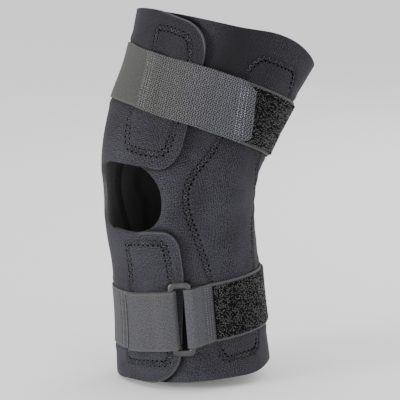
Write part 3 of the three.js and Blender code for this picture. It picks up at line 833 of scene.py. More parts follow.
@dataclass
class HingePocket:
    """A cloth panel inside the sleeve that holds a hinge stay, and the seam that shows outside."""

    side: Side
    top: float = 0.93
    foot: float = 0.92
    top_end: float = 24.0
    foot_end: float = 14.0
    halves: tuple[float, ...] = (17.0, 17.5, 20.5, 29.5, 39.0, 24.0, 20.0, 20.0, 20.0)
    cloth: float = 1.0
    gap: float = GAP
    stay: float = 2.2
    arm_half_width: float = 7.0
    head_radius: float = 17.0
    stay_top: float = 0.74
    stay_foot: float = 0.68
    room: float = 3.0
    slope: float = 5.0
    seam_inset: float = 1.2
    end_outset: float = 2.6
    seam_drop: float = 4.0
    seam_margin: float = 2.5
    flat_margin: float = 1.2
    pucker: float = 0.15
    columns: int = 44
    rows: int = 110
    end_rows: int = 14

    @property
    def middle(self) -> float:
        """The pocket's angle round the leg."""
        return POCKET_ANGLES[self.side]

    def half(self, form: LegForm, height: np.ndarray, drop: float = 0.0) -> np.ndarray:
        """The panel's half width in degrees at a height, as if its top were lower by a drop."""
        from_top, from_foot = self.top * form.thigh_length - drop - height, height + self.foot * form.calf_length
        share = np.clip(np.minimum(from_top / self.top_end, from_foot / self.foot_end), 0, 1)
        rounded = 0.25 + 0.75 * np.sqrt(1 - (1 - share) ** 2)
        return form.table_value(self.halves, form.share_of(height)) * rounded

    def flat_size(self, form: LegForm) -> tuple[tuple[float, float], float]:
        """The panel's flat width and length in metres, and its area."""
        low, high = -self.foot * form.calf_length, self.top * form.thigh_length
        heights = np.linspace(low, high, 200)
        widths = 2 * self.half(form, heights) / form.degrees_of(1.0, heights)
        return (float(widths.max()) * MM, (high - low) * MM), float(widths.mean()) * (high - low) * MM * MM

    def stay_half_width(self, height: np.ndarray, room: float) -> np.ndarray:
        """The stay's half width at a height, with room round it."""
        head = np.sqrt(np.maximum((self.head_radius + room) ** 2 - height**2, 0))
        return np.maximum(self.arm_half_width + room, head)

    def build(self, form: LegForm, material: bpy.types.Material) -> bpy.types.Object:
        """Makes the panel, dished round its stay.

        Args:
            form: The leg that it lies on.
            material: The cloth's finish.

        Returns:
            The panel.
        """
        low, high = -self.foot * form.calf_length, self.top * form.thigh_length
        heights = np.concatenate(
            [
                spread(low, low + self.foot_end, self.end_rows, Crowd.START),
                spread(low + self.foot_end, high - self.top_end, self.rows),
                spread(high - self.top_end, high, self.end_rows, Crowd.END),
                [high],
            ]
        )
        bm, i, j = grid_bmesh(self.columns, len(heights) - 1)
        height, share = heights[j], i / self.columns * 2 - 1
        half = self.half(form, height)
        from_middle = np.abs(share) * half
        stay = form.degrees_of(1.0, height) * self.stay_half_width(height, self.flat_margin)
        flat = np.minimum(stay, 0.7 * half)
        slope_end = np.minimum(flat + form.degrees_of(self.slope, height), 0.9 * half)
        past = np.maximum(height - self.stay_top * form.thigh_length, -self.stay_foot * form.calf_length - height)
        rise = np.clip((from_middle - flat) / np.maximum(slope_end - flat, 1e-6), 0, 1)
        dish = (1 - smoothstep(rise, 0, 1)) * (1 - smoothstep(past - self.room, 0, self.slope))
        offset = -self.gap - dish * (self.stay + self.gap)
        puckers = self.pucker * np.sin(height * 2.1) * smoothstep(np.abs(share), 0.75, 1.0)
        points = form.point(self.middle + share * half, height, offset - np.abs(puckers))
        uv = np.stack([share * half / form.degrees_of(1.0, height), height], axis=1) * MM
        lay_out(bm, points, uv)
        panel = make_piece(f"{self.side.value}_hinge_pocket_cloth", bm, [material])
        thicken(panel, self.cloth, -1)
        soften(panel, 0.3)
        return panel

    def seam(self, form: LegForm, offset: float, name: str) -> Seam:
        """The seam that holds the panel, on the sleeve's outer or inner face.

        Args:
            form: The leg that it lies round.
            offset: How far out from the leg's skin it shows.
            name: The seam's name.

        Returns:
            The seam.
        """
        low = -self.foot * form.calf_length + self.seam_margin
        high = self.top * form.thigh_length - self.seam_drop - self.seam_margin
        heights = np.concatenate([spread(low, high, 60), [high]])
        outset = self.end_outset * smoothstep(np.abs(form.share_of(heights)), 0.3, 0.6)
        inset = (self.seam_inset - outset) * form.degrees_of(1.0, heights)
        half = self.half(form, heights, self.seam_drop) - inset
        front = [(self.middle - h, z) for h, z in zip(half, heights)]
        back = [(self.middle + h, z) for h, z in zip(half[::-1], heights[::-1])]
        return Seam(name, [*front, *back], offset)


@dataclass(frozen=True)
class StrapLine:
    """Where a strap runs round the leg."""

    level: float
    shift: float
    shift_from: float
    width: float = 50.0
    shift_run: float = 72.0

    def middle(self, angle: np.ndarray) -> np.ndarray:
        """The height of the strap's middle at an angle."""
        angle = np.asarray(angle, float)
        from_front = np.where(angle > 180, angle - 360, angle)
        shifted = 1 - smoothstep(from_front, self.shift_from - self.shift_run, self.shift_from)
        back = np.where(angle > 180, smoothstep(-from_front, 60, 170), 0.0)
        return self.level + self.shift * shifted * (1 - back)


THIGH_LINE = StrapLine(level=0.52 * LegForm.thigh_length, shift=10.0, shift_from=30.0)
CALF_LINE = StrapLine(level=-0.63 * LegForm.calf_length, shift=-7.0, shift_from=60.0)


@dataclass(frozen=True)
class RimWave:
    """A wave of a rim: its middle and half width in degrees, and its rise as a share of the thigh or the calf."""

    middle: float
    width: float
    rise: float

    def rise_at(self, angle: np.ndarray) -> np.ndarray:
        """The wave's share of the rise at an angle."""
        return self.rise * bell(np.mod(angle - self.middle + 180, 360) - 180, self.width)


@dataclass(frozen=True)
class PaintedClothShade:
    """Painted shade on the jersey: how much darker it is painted in places, where 1 is as dark as a seam.

    Attributes:
        thigh: The painted shade above the knee.
        upper_thigh: The most painted shade that is added near the upper rim.
        least_under: The least share of that on the under layer.
        least_flap: The least share of that on a flap.
        foot: The painted shade added near the lower flap's foot.
        near_flap: The painted shadow added beside the flaps' free edges.
        beneath: The painted shadow added along the line under a free edge.
        slot: The painted shade seen through the ring's slot.
    """

    thigh: float = 0.4
    upper_thigh: float = 0.37
    least_under: float = 0.2
    least_flap: float = 0.5
    foot: float = 0.13
    near_flap: float = 0.45
    beneath: float = 1.1
    slot: float = 1.2

    def at(self, column: np.ndarray, angle: np.ndarray, height: np.ndarray, beneath: np.ndarray) -> np.ndarray:
        """The painted shade at each vertex of the sleeve.

        Args:
            column: The angle of its column, which runs on past 360 over the wrap's start.
            angle: Its angle on the leg.
            height: Its height along the leg.
            beneath: How near it lies to the line under a free edge, from 0 to 1, for the painted shadow there.

        Returns:
            The painted shades.
        """
        under = column < 340
        beside, near_flap = bell(angle - 74, 27) * under, bell(angle - 57, 15) * under
        least = np.where(under, self.least_under, self.least_flap)
        by_opening = smoothstep(height, -60, -20) * (1 - 0.8 * smoothstep(height, -5, 25))
        shade = self.thigh * smoothstep(height, 12, 40)
        shade += self.upper_thigh * np.maximum(beside, least) * smoothstep(height, 62, 112)
        shade += self.foot * ~under * smoothstep(height, -120, -95)
        shade += self.near_flap * near_flap * np.maximum(by_opening, smoothstep(height, 60, 100))
        shade += self.beneath * beneath
        # Painted shade on the cloth seen through the ring's slot.
        in_slot = (np.abs(angle - RING_ANGLE) < 8) * (np.abs(height - CALF_LINE.level) < 30)
        return np.maximum(shade, self.slot * in_slot)


@dataclass
class Sleeve:
    """The neoprene sleeve with its two front flaps, in one wrapped sheet."""

    form: LegForm
    neoprene: float = NEOPRENE
    rise: float = 5.1
    wrap_start: float = -22.0
    rise_start: float = 285.0
    rise_end: float = 330.0
    flap_edge: float = 52.0
    patch_inset: float = 10.5
    upper_slant: float = 13.5
    lower_slant: float = 10.5
    upper_slant_start: float = 0.31
    lower_slant_start: float = 0.4
    upper_top_corner: float = 23.0
    upper_foot_corner: float = 19.0
    lower_top_corner: float = 13.0
    lower_foot_corner: float = 27.0
    upper_fall: float = 6.5
    opening_top: float = 12.5
    opening_foot: float = -31.0
    opening_half: float = 40.0
    opening_centre: float = -0.5
    opening_power: float = 2.3
    lower_flap_rise: float = 3.0
    lower_flap_rise_end: float = 33.0
    under_cut_extra: float = 2.0
    rows: int = 66
    curl: float = 2.0
    rim_spread: float = 40.0
    upper_waves: tuple[RimWave, ...] = (
        RimWave(92.0, 24.0, 0.046),
        RimWave(146.0, 20.0, -0.03),
        RimWave(20.0, 34.0, -0.009),
    )
    lower_waves: tuple[RimWave, ...] = (RimWave(105.0, 22.0, 0.019), RimWave(338.0, 20.0, 0.016))
    # Painted shade and painted shadow on the jersey.
    shade: PaintedClothShade = PaintedClothShade()

    @property
    def end(self) -> float:
        """The angle of the flaps' free edge, counted on past the wrap's start."""
        return 360 + self.flap_edge

    def rise_at(self, angle: np.ndarray) -> np.ndarray:
        """How far the wrap has risen over its own start."""
        return self.rise * smoothstep(angle, self.rise_start, self.rise_end)

    def flap_angle(self, angle: np.ndarray, height: np.ndarray) -> np.ndarray:
        """The angle on the leg, with the flap's free edge turned back towards the rims."""
        share = self.form.share_of(height)
        up = self.upper_slant * np.clip((share - self.upper_slant_start) / (1 - self.upper_slant_start), 0, 1)
        down = self.lower_slant * np.clip((-share - self.lower_slant_start) / (1 - self.lower_slant_start), 0, 1)
        turned = smoothstep(angle, self.rise_end, self.end - self.patch_inset)
        return angle - (up + down) * turned

    def opening_share(self, distance: np.ndarray) -> np.ndarray:
        """The kneecap opening's half height, as a share, at an angle from its centre."""
        share = np.clip(np.abs(distance) / self.opening_half, 0, 1)
        return (1 - share**self.opening_power) ** (1 / self.opening_power)

    def rounded(self, angle: np.ndarray, radius: float, height: float) -> np.ndarray:
        """How far a flap's rounded corner at a height has taken its edge back."""
        run = self.form.degrees_of(radius, height)
        share = np.clip((angle - (self.end - run)) / run, 0, 1)
        return radius * (1 - np.sqrt(1 - share * share))

    def outline(self, angle: np.ndarray) -> dict[str, np.ndarray]:
        """The sheet's edges at each angle of its columns.

        Args:
            angle: The angles.

        Returns:
            Heights of the foot, the opening's foot and top, and the top.
        """
        thigh, calf = self.form.thigh_length, self.form.calf_length
        half = (self.opening_top - self.opening_foot) / 2
        middle = (self.opening_top + self.opening_foot) / 2
        under = angle < self.opening_centre + self.opening_half
        over = angle > 360 + self.opening_centre - self.opening_half
        under_share = self.opening_share(np.maximum(0, angle - self.opening_centre)) * under
        over_share = self.opening_share(np.minimum(0, angle - 360 - self.opening_centre)) * over
        lift = self.lower_flap_rise * smoothstep(angle - 360, self.opening_centre, self.lower_flap_rise_end)
        lower = over * (self.rounded(angle, self.lower_top_corner, self.opening_foot) - lift)
        upper = over * self.rounded(angle, self.upper_foot_corner, self.opening_top)
        fall = self.upper_fall * smoothstep(angle, 360, self.end)
        return {
            "foot": -calf + self.rounded(angle, self.lower_foot_corner, -calf),
            "opening_foot": middle - half * (under_share + over_share) - lower,
            "opening_top": middle + half * (under_share + over_share) + self.under_cut_extra * under_share + upper,
            "top": thigh - self.rounded(angle, self.upper_top_corner, thigh) - fall,
        }

    def columns(self) -> np.ndarray:
        """The angles of the sheet's columns."""
        tip, notch = self.opening_centre + self.opening_half, 360 + self.opening_centre - self.opening_half
        end, corner = self.end, float(self.form.degrees_of(self.upper_top_corner, self.form.thigh_length))
        return np.concatenate(
            [
                spread(self.wrap_start, self.opening_centre, 12),
                spread(self.opening_centre, tip, 38, Crowd.END),
                spread(tip, notch, 158),
                spread(notch, 360 + self.opening_centre, 38, Crowd.START),
                spread(360 + self.opening_centre, end - corner, 16),
                spread(end - corner, end, 26, Crowd.END),
                [end],
            ]
        )

    def relief(self, column: np.ndarray, angle: np.ndarray, height: np.ndarray) -> np.ndarray:
        """How far the cloth stands out from its plain form, seams left out.

        Args:
            column: The angle of each point's column, which runs on past 360 over the wrap's start.
            angle: The angle on the leg.
            height: The height along the leg.

        Returns:
            Millimetres outwards.
        """
        on_top = smoothstep(column, 52, 62)
        round_leg = np.mod(angle, 360)
        reach = np.zeros_like(height)
        covered = np.zeros_like(height)
        for line in (THIGH_LINE, CALF_LINE):
            past = np.abs(height - line.middle(round_leg)) - line.width / 2
            reach += 0.75 * bell(past - 4.5, 3.2) * (past > 0)
            covered = np.maximum(covered, 1 - smoothstep(past, 0.0, 3.0))
        for side in POCKET_ANGLES.values():
            across = (round_leg - side) / self.form.degrees_of(1.0, height)
            head = 1.5 * (1 - smoothstep(np.hypot(across, height), 9, 25))
            arm = 0.55 * (1 - smoothstep(np.abs(across), 4, 13)) * (1 - smoothstep(np.abs(height), 85, 105))
            reach += np.maximum(head, arm) * (1 - covered)
        behind = bell(round_leg - 180, 42) * bell(height - 2, 34)
        creases = 0.8 * behind * np.sin(height / 2.6 + 1.6 * np.sin(np.radians(round_leg) * 3))
        waves = np.array([noise.noise(Vector((a / 22, h / 24, 3.1))) for a, h in zip(round_leg, height)])
        reach += (creases + 0.5 * waves) * (1 - covered)
        return reach * on_top - 0.12 * covered * on_top

    def girths(self) -> tuple[np.ndarray, np.ndarray]:
        """The sheet's width in millimetres at even heights, and those heights."""
        heights = np.linspace(-self.form.calf_length, self.form.thigh_length, 60)
        angles = np.linspace(self.wrap_start, self.end, 300)
        rows = [self.form.point(self.flap_angle(angles, h), h, self.neoprene / 2) / MM for h in heights]
        return np.array([np.linalg.norm(np.diff(row, axis=0), axis=1).sum() for row in rows]), heights

    def flat_size(self) -> tuple[float, float]:
        """The width and length in metres of the rectangle that the sheet is cut from."""
        return float(self.girths()[0].max()) * MM, (self.form.thigh_length + self.form.calf_length) * MM

    def flat_area(self) -> float:
        """The sheet's flat area in square metres, less the rectangle round its kneecap opening."""
        widths, heights = self.girths()
        length = (heights[-1] - heights[0]) * MM
        opening_height = (self.opening_top - self.opening_foot) * MM
        opening_width = 2 * self.opening_half / float(self.form.degrees_of(1.0, 0.0)) * MM
        return float(widths.mean()) * MM * length - opening_height * opening_width

    def rim_rise(self, angle: np.ndarray, height: np.ndarray) -> np.ndarray:
        """How far the waves of the two rims move a point of the cloth up."""
        form, spread_over = self.form, self.rim_spread
        upper = form.thigh_length * sum(wave.rise_at(angle) for wave in self.upper_waves)
        lower = form.calf_length * sum(wave.rise_at(angle) for wave in self.lower_waves)
        near_top = smoothstep(height, form.thigh_length - spread_over, form.thigh_length)
        near_foot = smoothstep(-height, form.calf_length - spread_over, form.calf_length)
        return upper * near_top - lower * near_foot

    def edge_lift(self, column: np.ndarray, height: np.ndarray) -> np.ndarray:
        """How far the flaps' free edges curl outwards."""
        past = smoothstep(column, self.end - 12, self.end)
        upper = smoothstep(height, 99, 112) + 0.35 * bell(height - 27, 12)
        lower = 0.35 * bell(height + 40, 16) + 0.3 * smoothstep(-height, 128, 140)
        return self.curl * past * (upper + lower)

    def build(self, seams: Sequence[Seam], materials: Sequence[bpy.types.Material]) -> bpy.types.Object:
        """Makes the sheet, with its seams drawn in.

        Args:
            seams: The seams that run through it.
            materials: The outer cloth, the cut edge and the lining.

        Returns:
            The sleeve.
        """
        form, angles, half_rows = self.form, self.columns(), self.rows
        bm, i, j = grid_bmesh(len(angles) - 1, 2 * half_rows + 1)
        edges = self.outline(angles)
        column, low = angles[i], j <= half_rows
        share = np.where(low, j / half_rows, (j - half_rows - 1) / half_rows)
        height = np.where(
            low,
            lerp(edges["foot"][i], edges["opening_foot"][i], share),
            lerp(edges["opening_top"][i], edges["top"][i], share),
        )
        angle = self.flap_angle(column, height)
        height = height + self.rim_rise(column, height)
        plain = self.rise_at(column) + self.neoprene
        offset = plain + self.relief(column, angle, height) + self.edge_lift(column, height)
        offset_in, groove = self.seam_marks(seams, form.point(angle, height, plain))
        points = form.point(angle, height, offset - offset_in)
        bm.verts.index_update()
        middle = [f for f in bm.faces if {j[v.index] for v in f.verts} == {half_rows, half_rows + 1}]
        bmesh.ops.delete(bm, geom=middle, context="FACES_ONLY")
        # Masks for the painted edge highlight and for the painted shadow beneath the free edges.
        edge, beneath = self.edge_marks(bm, points, column, height)
        # The painted shade, carried to the jersey as a vertex value.
        shade = self.shade.at(column, angle, height, beneath)
        uv = np.stack([column * 1.02, height], axis=1) * MM
        lay_out(bm, points, uv, groove=groove, edge=edge, shade=shade)
        bmesh.ops.remove_doubles(bm, verts=bm.verts, dist=1e-6)
        sleeve = make_piece("neoprene_sleeve", bm, materials)
        thicken(sleeve, self.neoprene, -1, rim=1, inner=2)
        soften(sleeve, 0.7)
        return sleeve

    def seam_marks(self, seams: Sequence[Seam], points: np.ndarray) -> tuple[np.ndarray, np.ndarray]:
        """How the seams draw the cloth in.

        Args:
            seams: The seams.
            points: The sheet's plain points.

        Returns:
            For each point how far it is drawn in, and how deep in a seam it lies from 0 to 1.
        """
        lines = []
        for seam in seams:
            angle, height = seam.line(self.form)
            ring = self.form.point(np.append(angle, angle[0]), np.append(height, height[0]), seam.offset)
            lines += [lerp(a, b, s) for a, b in zip(ring[:-1], ring[1:]) for s in (0.0, 0.25, 0.5, 0.75)]
        tree = KDTree(len(lines))
        for k, place in enumerate(lines):
            tree.insert(place, k)
        tree.balance()
        distance = np.array([tree.find(p)[2] for p in points]) / MM
        # How deep in a seam's groove each point lies, which the jersey darkens as painted shade.
        groove = bell(distance, 2.1)
        shoulders = 0.3 * bell(distance - 4.6, 1.8)
        return 0.65 * groove - shoulders, groove

    def edge_marks(
        self, bm: bmesh.types.BMesh, points: np.ndarray, column: np.ndarray, height: np.ndarray
    ) -> tuple[np.ndarray, np.ndarray]:
        """Masks from 0 to 1: near a flap's free edge, for its painted highlight and paler cut edge, and along the
        line beneath it, for painted shadow.
        """
        rim = {v.index for e in bm.edges if e.is_boundary for v in e.verts if column[v.index] > 350}
        tree = KDTree(len(rim))
        for index in rim:
            tree.insert(points[index], index)
        tree.balance()
        near = np.array([tree.find(p)[2] for p in points]) / MM
        # The painted highlight is strongest at the upper flap's top corner and weaker along the other free edges.
        corner = smoothstep(height, 99, 110) * smoothstep(column, 364, 380)
        lower = 0.5 * (height < -24) * smoothstep(column, 376, 384)
        rest = 0.22 * smoothstep(column, 384, 396) * (height > 12)
        edge = bell(near, 0.9) * np.maximum(np.maximum(corner, lower), rest)
        # Painted shadow on the under layer along the line beneath each free edge.
        return edge, bell(np.maximum(near - self.rise, 0), 0.8) * (column < 340)


@dataclass(frozen=True)
class Stitch:
    """The sizes of one stitch in a row: the way to the next one, its share of that way, and its thread."""

    pitch: float = 2.4
    share: float = 0.6
    thread: float = 0.55


@dataclass
class Strap:
    """A flat strap that follows a path round the leg.

    Attributes:
        name: The piece's name.
        thickness: The strap's thickness.
        path: Angle and offset of its middle thickness, along its length.
        edges: The heights of its two edges at angles.
        level: The height at which its length is measured.
        place: Puts a point of it on the leg.
        rows: How many faces it has across.
    """

    name: str
    thickness: float
    path: np.ndarray
    edges: Edges
    level: float
    place: Place
    rows: int = 26

    def lengths(self, form: LegForm) -> np.ndarray:
        """The way along the strap in millimetres at each point of its path."""
        steps = np.hypot(np.diff(self.path[:, 0]) / form.degrees_of(1.0, self.level), np.diff(self.path[:, 1]))
        return np.concatenate([[0], np.cumsum(steps)])

    def build(self, form: LegForm, material: bpy.types.Material, start: float = 0.0) -> bpy.types.Object:
        """Makes the strap.

        Args:
            form: The leg that it lies round.
            material: Its weave.
            start: Where its weave's length starts, in millimetres.

        Returns:
            The strap.
        """
        bm, i, j = grid_bmesh(len(self.path) - 1, self.rows)
        angle, offset = self.path[i, 0], self.path[i, 1]
        low, high = self.edges(angle)
        height = lerp(low, high, j / self.rows)
        length = self.lengths(form)[i] + start
        middle = (low + high) / 2
        ripple = 0.13 * np.sin(length / 7.5) * np.abs(j / self.rows * 2 - 1) ** 3
        points = self.place(angle, height, offset + ripple)
        uv = np.stack([length, height - middle], axis=1) * MM
        lay_out(bm, points, uv)
        strap = make_piece(self.name, bm, [material])
        thicken(strap, self.thickness, 0)
        soften(strap, 0.32)
        return strap

    def stitches(
        self,
        form: LegForm,
        name: str,
        angle: float,
        material: bpy.types.Material,
        inset: float = 2.0,
        stitch: Stitch = Stitch(),
    ) -> bpy.types.Object:
        """Sews one row of stitches across the strap.

        Args:
            form: The leg that the strap lies round.
            name: The row's name.
            angle: Where the row crosses the strap, on a stretch where the path runs one way.
            material: The thread's finish.
            inset: How far the row stays from the strap's edges.
            stitch: The sizes of one stitch.

        Returns:
            The row as one piece.
        """
        near = self.path[np.abs(self.path[:, 0] - angle) < 3.0]
        offset = float(near[:, 1].max()) + self.thickness / 2
        low, high = (float(e) for e in self.edges(np.array(angle)))
        count = int((high - low - 2 * inset) / stitch.pitch)
        heights = np.linspace(low + inset, high - inset, count + 1)
        ends = self.place(np.full(count + 1, angle), heights, np.full(count + 1, offset))
        out = unit(self.place(np.full(count + 1, angle), heights, np.full(count + 1, offset + 1.0)) - ends)[:-1]
        share = 0.5 + stitch.share * np.array([-0.5, -0.35, 0.0, 0.35, 0.5])
        centres = ends[:-1, None] + (ends[1:] - ends[:-1])[:, None] * share[None, :, None]
        centres = centres + out[:, None] * (np.array([-0.3, 0.12, 0.2, 0.12, -0.3]) * MM)[None, :, None]
        radii = THREAD_TAPER * stitch.thread / 2 * MM
        return strands_piece(name, centres, out, radii, THREAD_SIDES, material)


def plain_path(start: float, end: float, offset: Offset | float, step: float = 1.4) -> np.ndarray:
    """A path from one angle to another whose offset is one number or follows the angle."""
    angle = np.linspace(start, end, math.ceil(abs(end - start) / step) + 1)
    offsets = offset(angle) if callable(offset) else offset
    return np.stack([angle, np.broadcast_to(offsets, angle.shape)], axis=1)


@dataclass(frozen=True)
class Ramp:
    """A smooth change of a strap's offset between two angles."""

    start: float
    end: float
    low: float
    high: float

    def at(self, angle: np.ndarray) -> np.ndarray:
        """The offset at an angle."""
        return lerp(self.low, self.high, smoothstep(angle, self.start, self.end))


@dataclass
class Pile:
    """Loops or hooks that stand on a strip of tape.

    Attributes:
        name: The piece's name.
        spacing: The way between neighbours.
        height: How far they stand up.
        reach: How wide one loop is at its foot.
        thread: Their thickness.
        around: How many sides a thread has.
        stray: How far each may stand from its even place, as a share of the spacing.
    """

    name: str
    spacing: float
    height: float
    reach: float
    thread: float
    around: int = 3
    stray: float = 0.2

    def build(
        self, place: Place, angles: tuple[float, float], edges: Edges, offset: float, material: bpy.types.Material
    ) -> bpy.types.Object:
        """Grows the loops.

        Args:
            place: Puts a point on the leg.
            angles: The strip's two ends.
            edges: The heights of its two edges at angles.
            offset: How far out the tape's face is.
            material: The loops' finish.

        Returns:
            All the loops as one piece.
        """
        random = np.random.default_rng(SEED + 1)
        low, high = (float(e) for e in edges(np.array(angles[0])))
        rough = place(np.linspace(*angles, 60), np.full(60, (low + high) / 2), np.full(60, offset)) / MM
        length = np.linalg.norm(np.diff(rough, axis=0), axis=1).sum()
        across, along = int((high - low) / self.spacing), int(length / self.spacing)
        i, j = np.meshgrid(np.arange(along) + 0.5, np.arange(across) + 0.5, indexing="ij")
        u = (i + random.uniform(-self.stray, self.stray, i.shape)).ravel() / along
        v = (j + random.uniform(-self.stray, self.stray, j.shape)).ravel() / across
        angle = lerp(angles[0], angles[1], u)
        low, high = edges(angle)
        height = lerp(low, high, v)
        foot = place(angle, height, np.full(angle.shape, offset - 0.15))
        out = unit(place(angle, height, np.full(angle.shape, offset + 1.0)) - foot)
        up = unit(place(angle, height + 1.0, np.full(angle.shape, offset)) - foot)
        side = unit(np.cross(up, out))
        turn = random.uniform(0, 2 * math.pi, angle.shape)[:, None]
        across_loop = np.cos(turn) * side + np.sin(turn) * up
        lean = np.cross(out, across_loop) * random.uniform(-0.5, 0.5, turn.shape)
        tall = self.height * random.uniform(0.75, 1.2, turn.shape)
        sweep = np.array([-0.42, -0.55, 0.0, 0.55, 0.42]) * self.reach * MM
        climb = np.array([0.0, 0.62, 1.0, 0.62, 0.0]) * MM
        centres = (
            foot[:, None]
            + across_loop[:, None] * sweep[None, :, None]
            + (out + lean)[:, None] * (tall * climb[None, :])[..., None]
        )
        radii = THREAD_TAPER * self.thread / 2 * MM
        normals = unit(np.cross(across_loop, out) + 0.01 * out)
        return strands_piece(self.name, centres, normals, radii, self.around, material)


@dataclass
class RingSeat:
    """Where the strap ring lies, and the flat frame that the straps follow near it."""

    form: LegForm
    angle: float = RING_ANGLE
    bar: float = 4.4
    slot: float = 10.4
    thickness: float = 2.6
    lift: float = 1.2
    play: float = 0.6
    flat_reach: float = 12.0
    blend_reach: float = 25.0
    on_sleeve: float = ON_SLEEVE
    rise: float = Sleeve.rise
    webbing: float = WEBBING

    def __post_init__(self) -> None:
        """Works out the ring's own frame: across, up and out."""
        reach = CALF_LINE.width / 2
        around = unit(self.bars_at(self.angle + 1, self.height) - self.bars_at(self.angle - 1, self.height))
        up = unit(self.bars_at(self.angle, self.height + reach) - self.bars_at(self.angle, self.height - reach))
        out = unit(np.cross(around, up))
        self.axes = np.stack([np.cross(up, out), up, out])
        self.origin = self.bars_at(self.angle, self.height)

    def bars_at(self, angle: float, height: float) -> np.ndarray:
        """The point in millimetres at the bars' middle thickness."""
        return self.form.point(angle, height, self.bar_offset) / MM

    @property
    def height(self) -> float:
        """The strap's height at the ring."""
        return float(CALF_LINE.middle(self.angle))

    @property
    def under_bar(self) -> float:
        """The offset of a strap that passes under a bar."""
        return self.on_sleeve + self.rise + self.lift + self.webbing / 2

    @property
    def fold_height(self) -> float:
        """Half the height of the fold round a bar."""
        return self.thickness / 2 + self.play + self.webbing / 2

    @property
    def fold_width(self) -> float:
        """Half the width of the fold round a bar."""
        return self.bar / 2 + self.play + self.webbing / 2

    @property
    def bar_offset(self) -> float:
        """The offset of the bars' middle."""
        return self.under_bar + self.fold_height

    def degree(self) -> float:
        """The angle that one millimetre takes at the ring."""
        return float(self.form.degrees_of(1.0, self.height))

    def place(self, angle: np.ndarray, height: np.ndarray, offset: np.ndarray) -> np.ndarray:
        """A calf strap's points: flat in the ring's frame near it, and round the leg away from it.

        Args:
            angle: Degrees round the leg.
            height: Millimetres along the leg.
            offset: Millimetres out from the leg's skin.

        Returns:
            The points in metres.
        """
        on_leg = self.form.point(angle, height, offset)
        from_front = np.where(np.asarray(angle) > 180, np.asarray(angle) - 360, angle)
        across = (from_front - self.angle) / self.degree()
        parts = np.stack(np.broadcast_arrays(across, height - self.height, offset - self.bar_offset), axis=-1)
        flat = (parts @ self.axes + self.origin) * MM
        share = smoothstep(np.abs(across), self.flat_reach, self.blend_reach)
        return lerp(flat, on_leg, np.asarray(share)[..., None])

    def fold(self, inward: int, steps: int = 20) -> np.ndarray:
        """The half turn round a bar, from under it to over it; inward is 1 for the bar nearer the front."""
        bar = self.angle - inward * (self.slot + self.bar) / 2 * self.degree()
        turn = np.linspace(-math.pi / 2, math.pi / 2, steps + 1)
        across = self.fold_width - self.fold_height + self.fold_height * np.cos(turn)
        return np.stack(
            [bar + inward * across * self.degree(), self.bar_offset + self.fold_height * np.sin(turn)], axis=1
        )


@dataclass
class StrapRing:
    """The rounded loop that the calf straps fold round."""

    seat: RingSeat
    end_bar: float = 5.0
    corner: float = 4.5
    inner_corner: float = 1.6
    slot_half_height: float = 26.5
    section_power: float = 3.2
    corner_start: float = 0.25
    stations: int = 120
    sides: int = 20

    def outline(self, start: np.ndarray, half: np.ndarray, radius: float) -> np.ndarray:
        """Points of a rounded rectangle.

        Args:
            start: The direction of each point from the middle.
            half: The rectangle's half width and half height.
            radius: The radius of its corners.

        Returns:
            One point in each direction.
        """
        straight, quarter, away, limit = half - radius, np.sign(start), unit(start), self.corner_start
        corner = quarter * straight + away * radius
        near_axis = smoothstep(np.abs(start[:, 0]), 0.0, limit) * smoothstep(np.abs(start[:, 1]), 0.0, limit)
        flat = np.where(np.abs(start) < limit, start / limit * straight, quarter * straight)
        return np.where(near_axis[:, None] >= 1, corner, flat + away * radius)

    def build(self, material: bpy.types.Material) -> bpy.types.Object:
        """Sweeps the bar's rounded section round the loop.

        Args:
            material: The plastic's finish.

        Returns:
            The ring.
        """
        seat = self.seat
        outer = np.array([seat.slot / 2 + seat.bar, self.slot_half_height + self.end_bar])
        inner = np.array([seat.slot / 2, self.slot_half_height])
        bm, i, j = grid_bmesh(self.sides, self.stations)
        turn = 2 * math.pi * (j % self.stations) / self.stations
        start = np.stack([np.cos(turn), np.sin(turn)], axis=1)
        out_line, in_line = self.outline(start, outer, self.corner), self.outline(start, inner, self.inner_corner)
        middle, reach = (out_line + in_line) / 2, (out_line - in_line) / 2
        around = 2 * math.pi * (i % self.sides) / self.sides
        power = 2 / self.section_power
        across = np.sign(np.cos(around)) * np.abs(np.cos(around)) ** power
        up = np.sign(np.sin(around)) * np.abs(np.sin(around)) ** power * seat.thickness / 2
        flat = middle + reach * across[:, None]
        points = (np.concatenate([flat, -up[:, None]], axis=1) @ seat.axes + seat.origin) * MM
        lay_out(bm, points)
        bmesh.ops.remove_doubles(bm, verts=bm.verts, dist=1e-6)
        bmesh.ops.recalc_face_normals(bm, faces=bm.faces)
        return make_piece("strap_ring_loop", bm, [material])


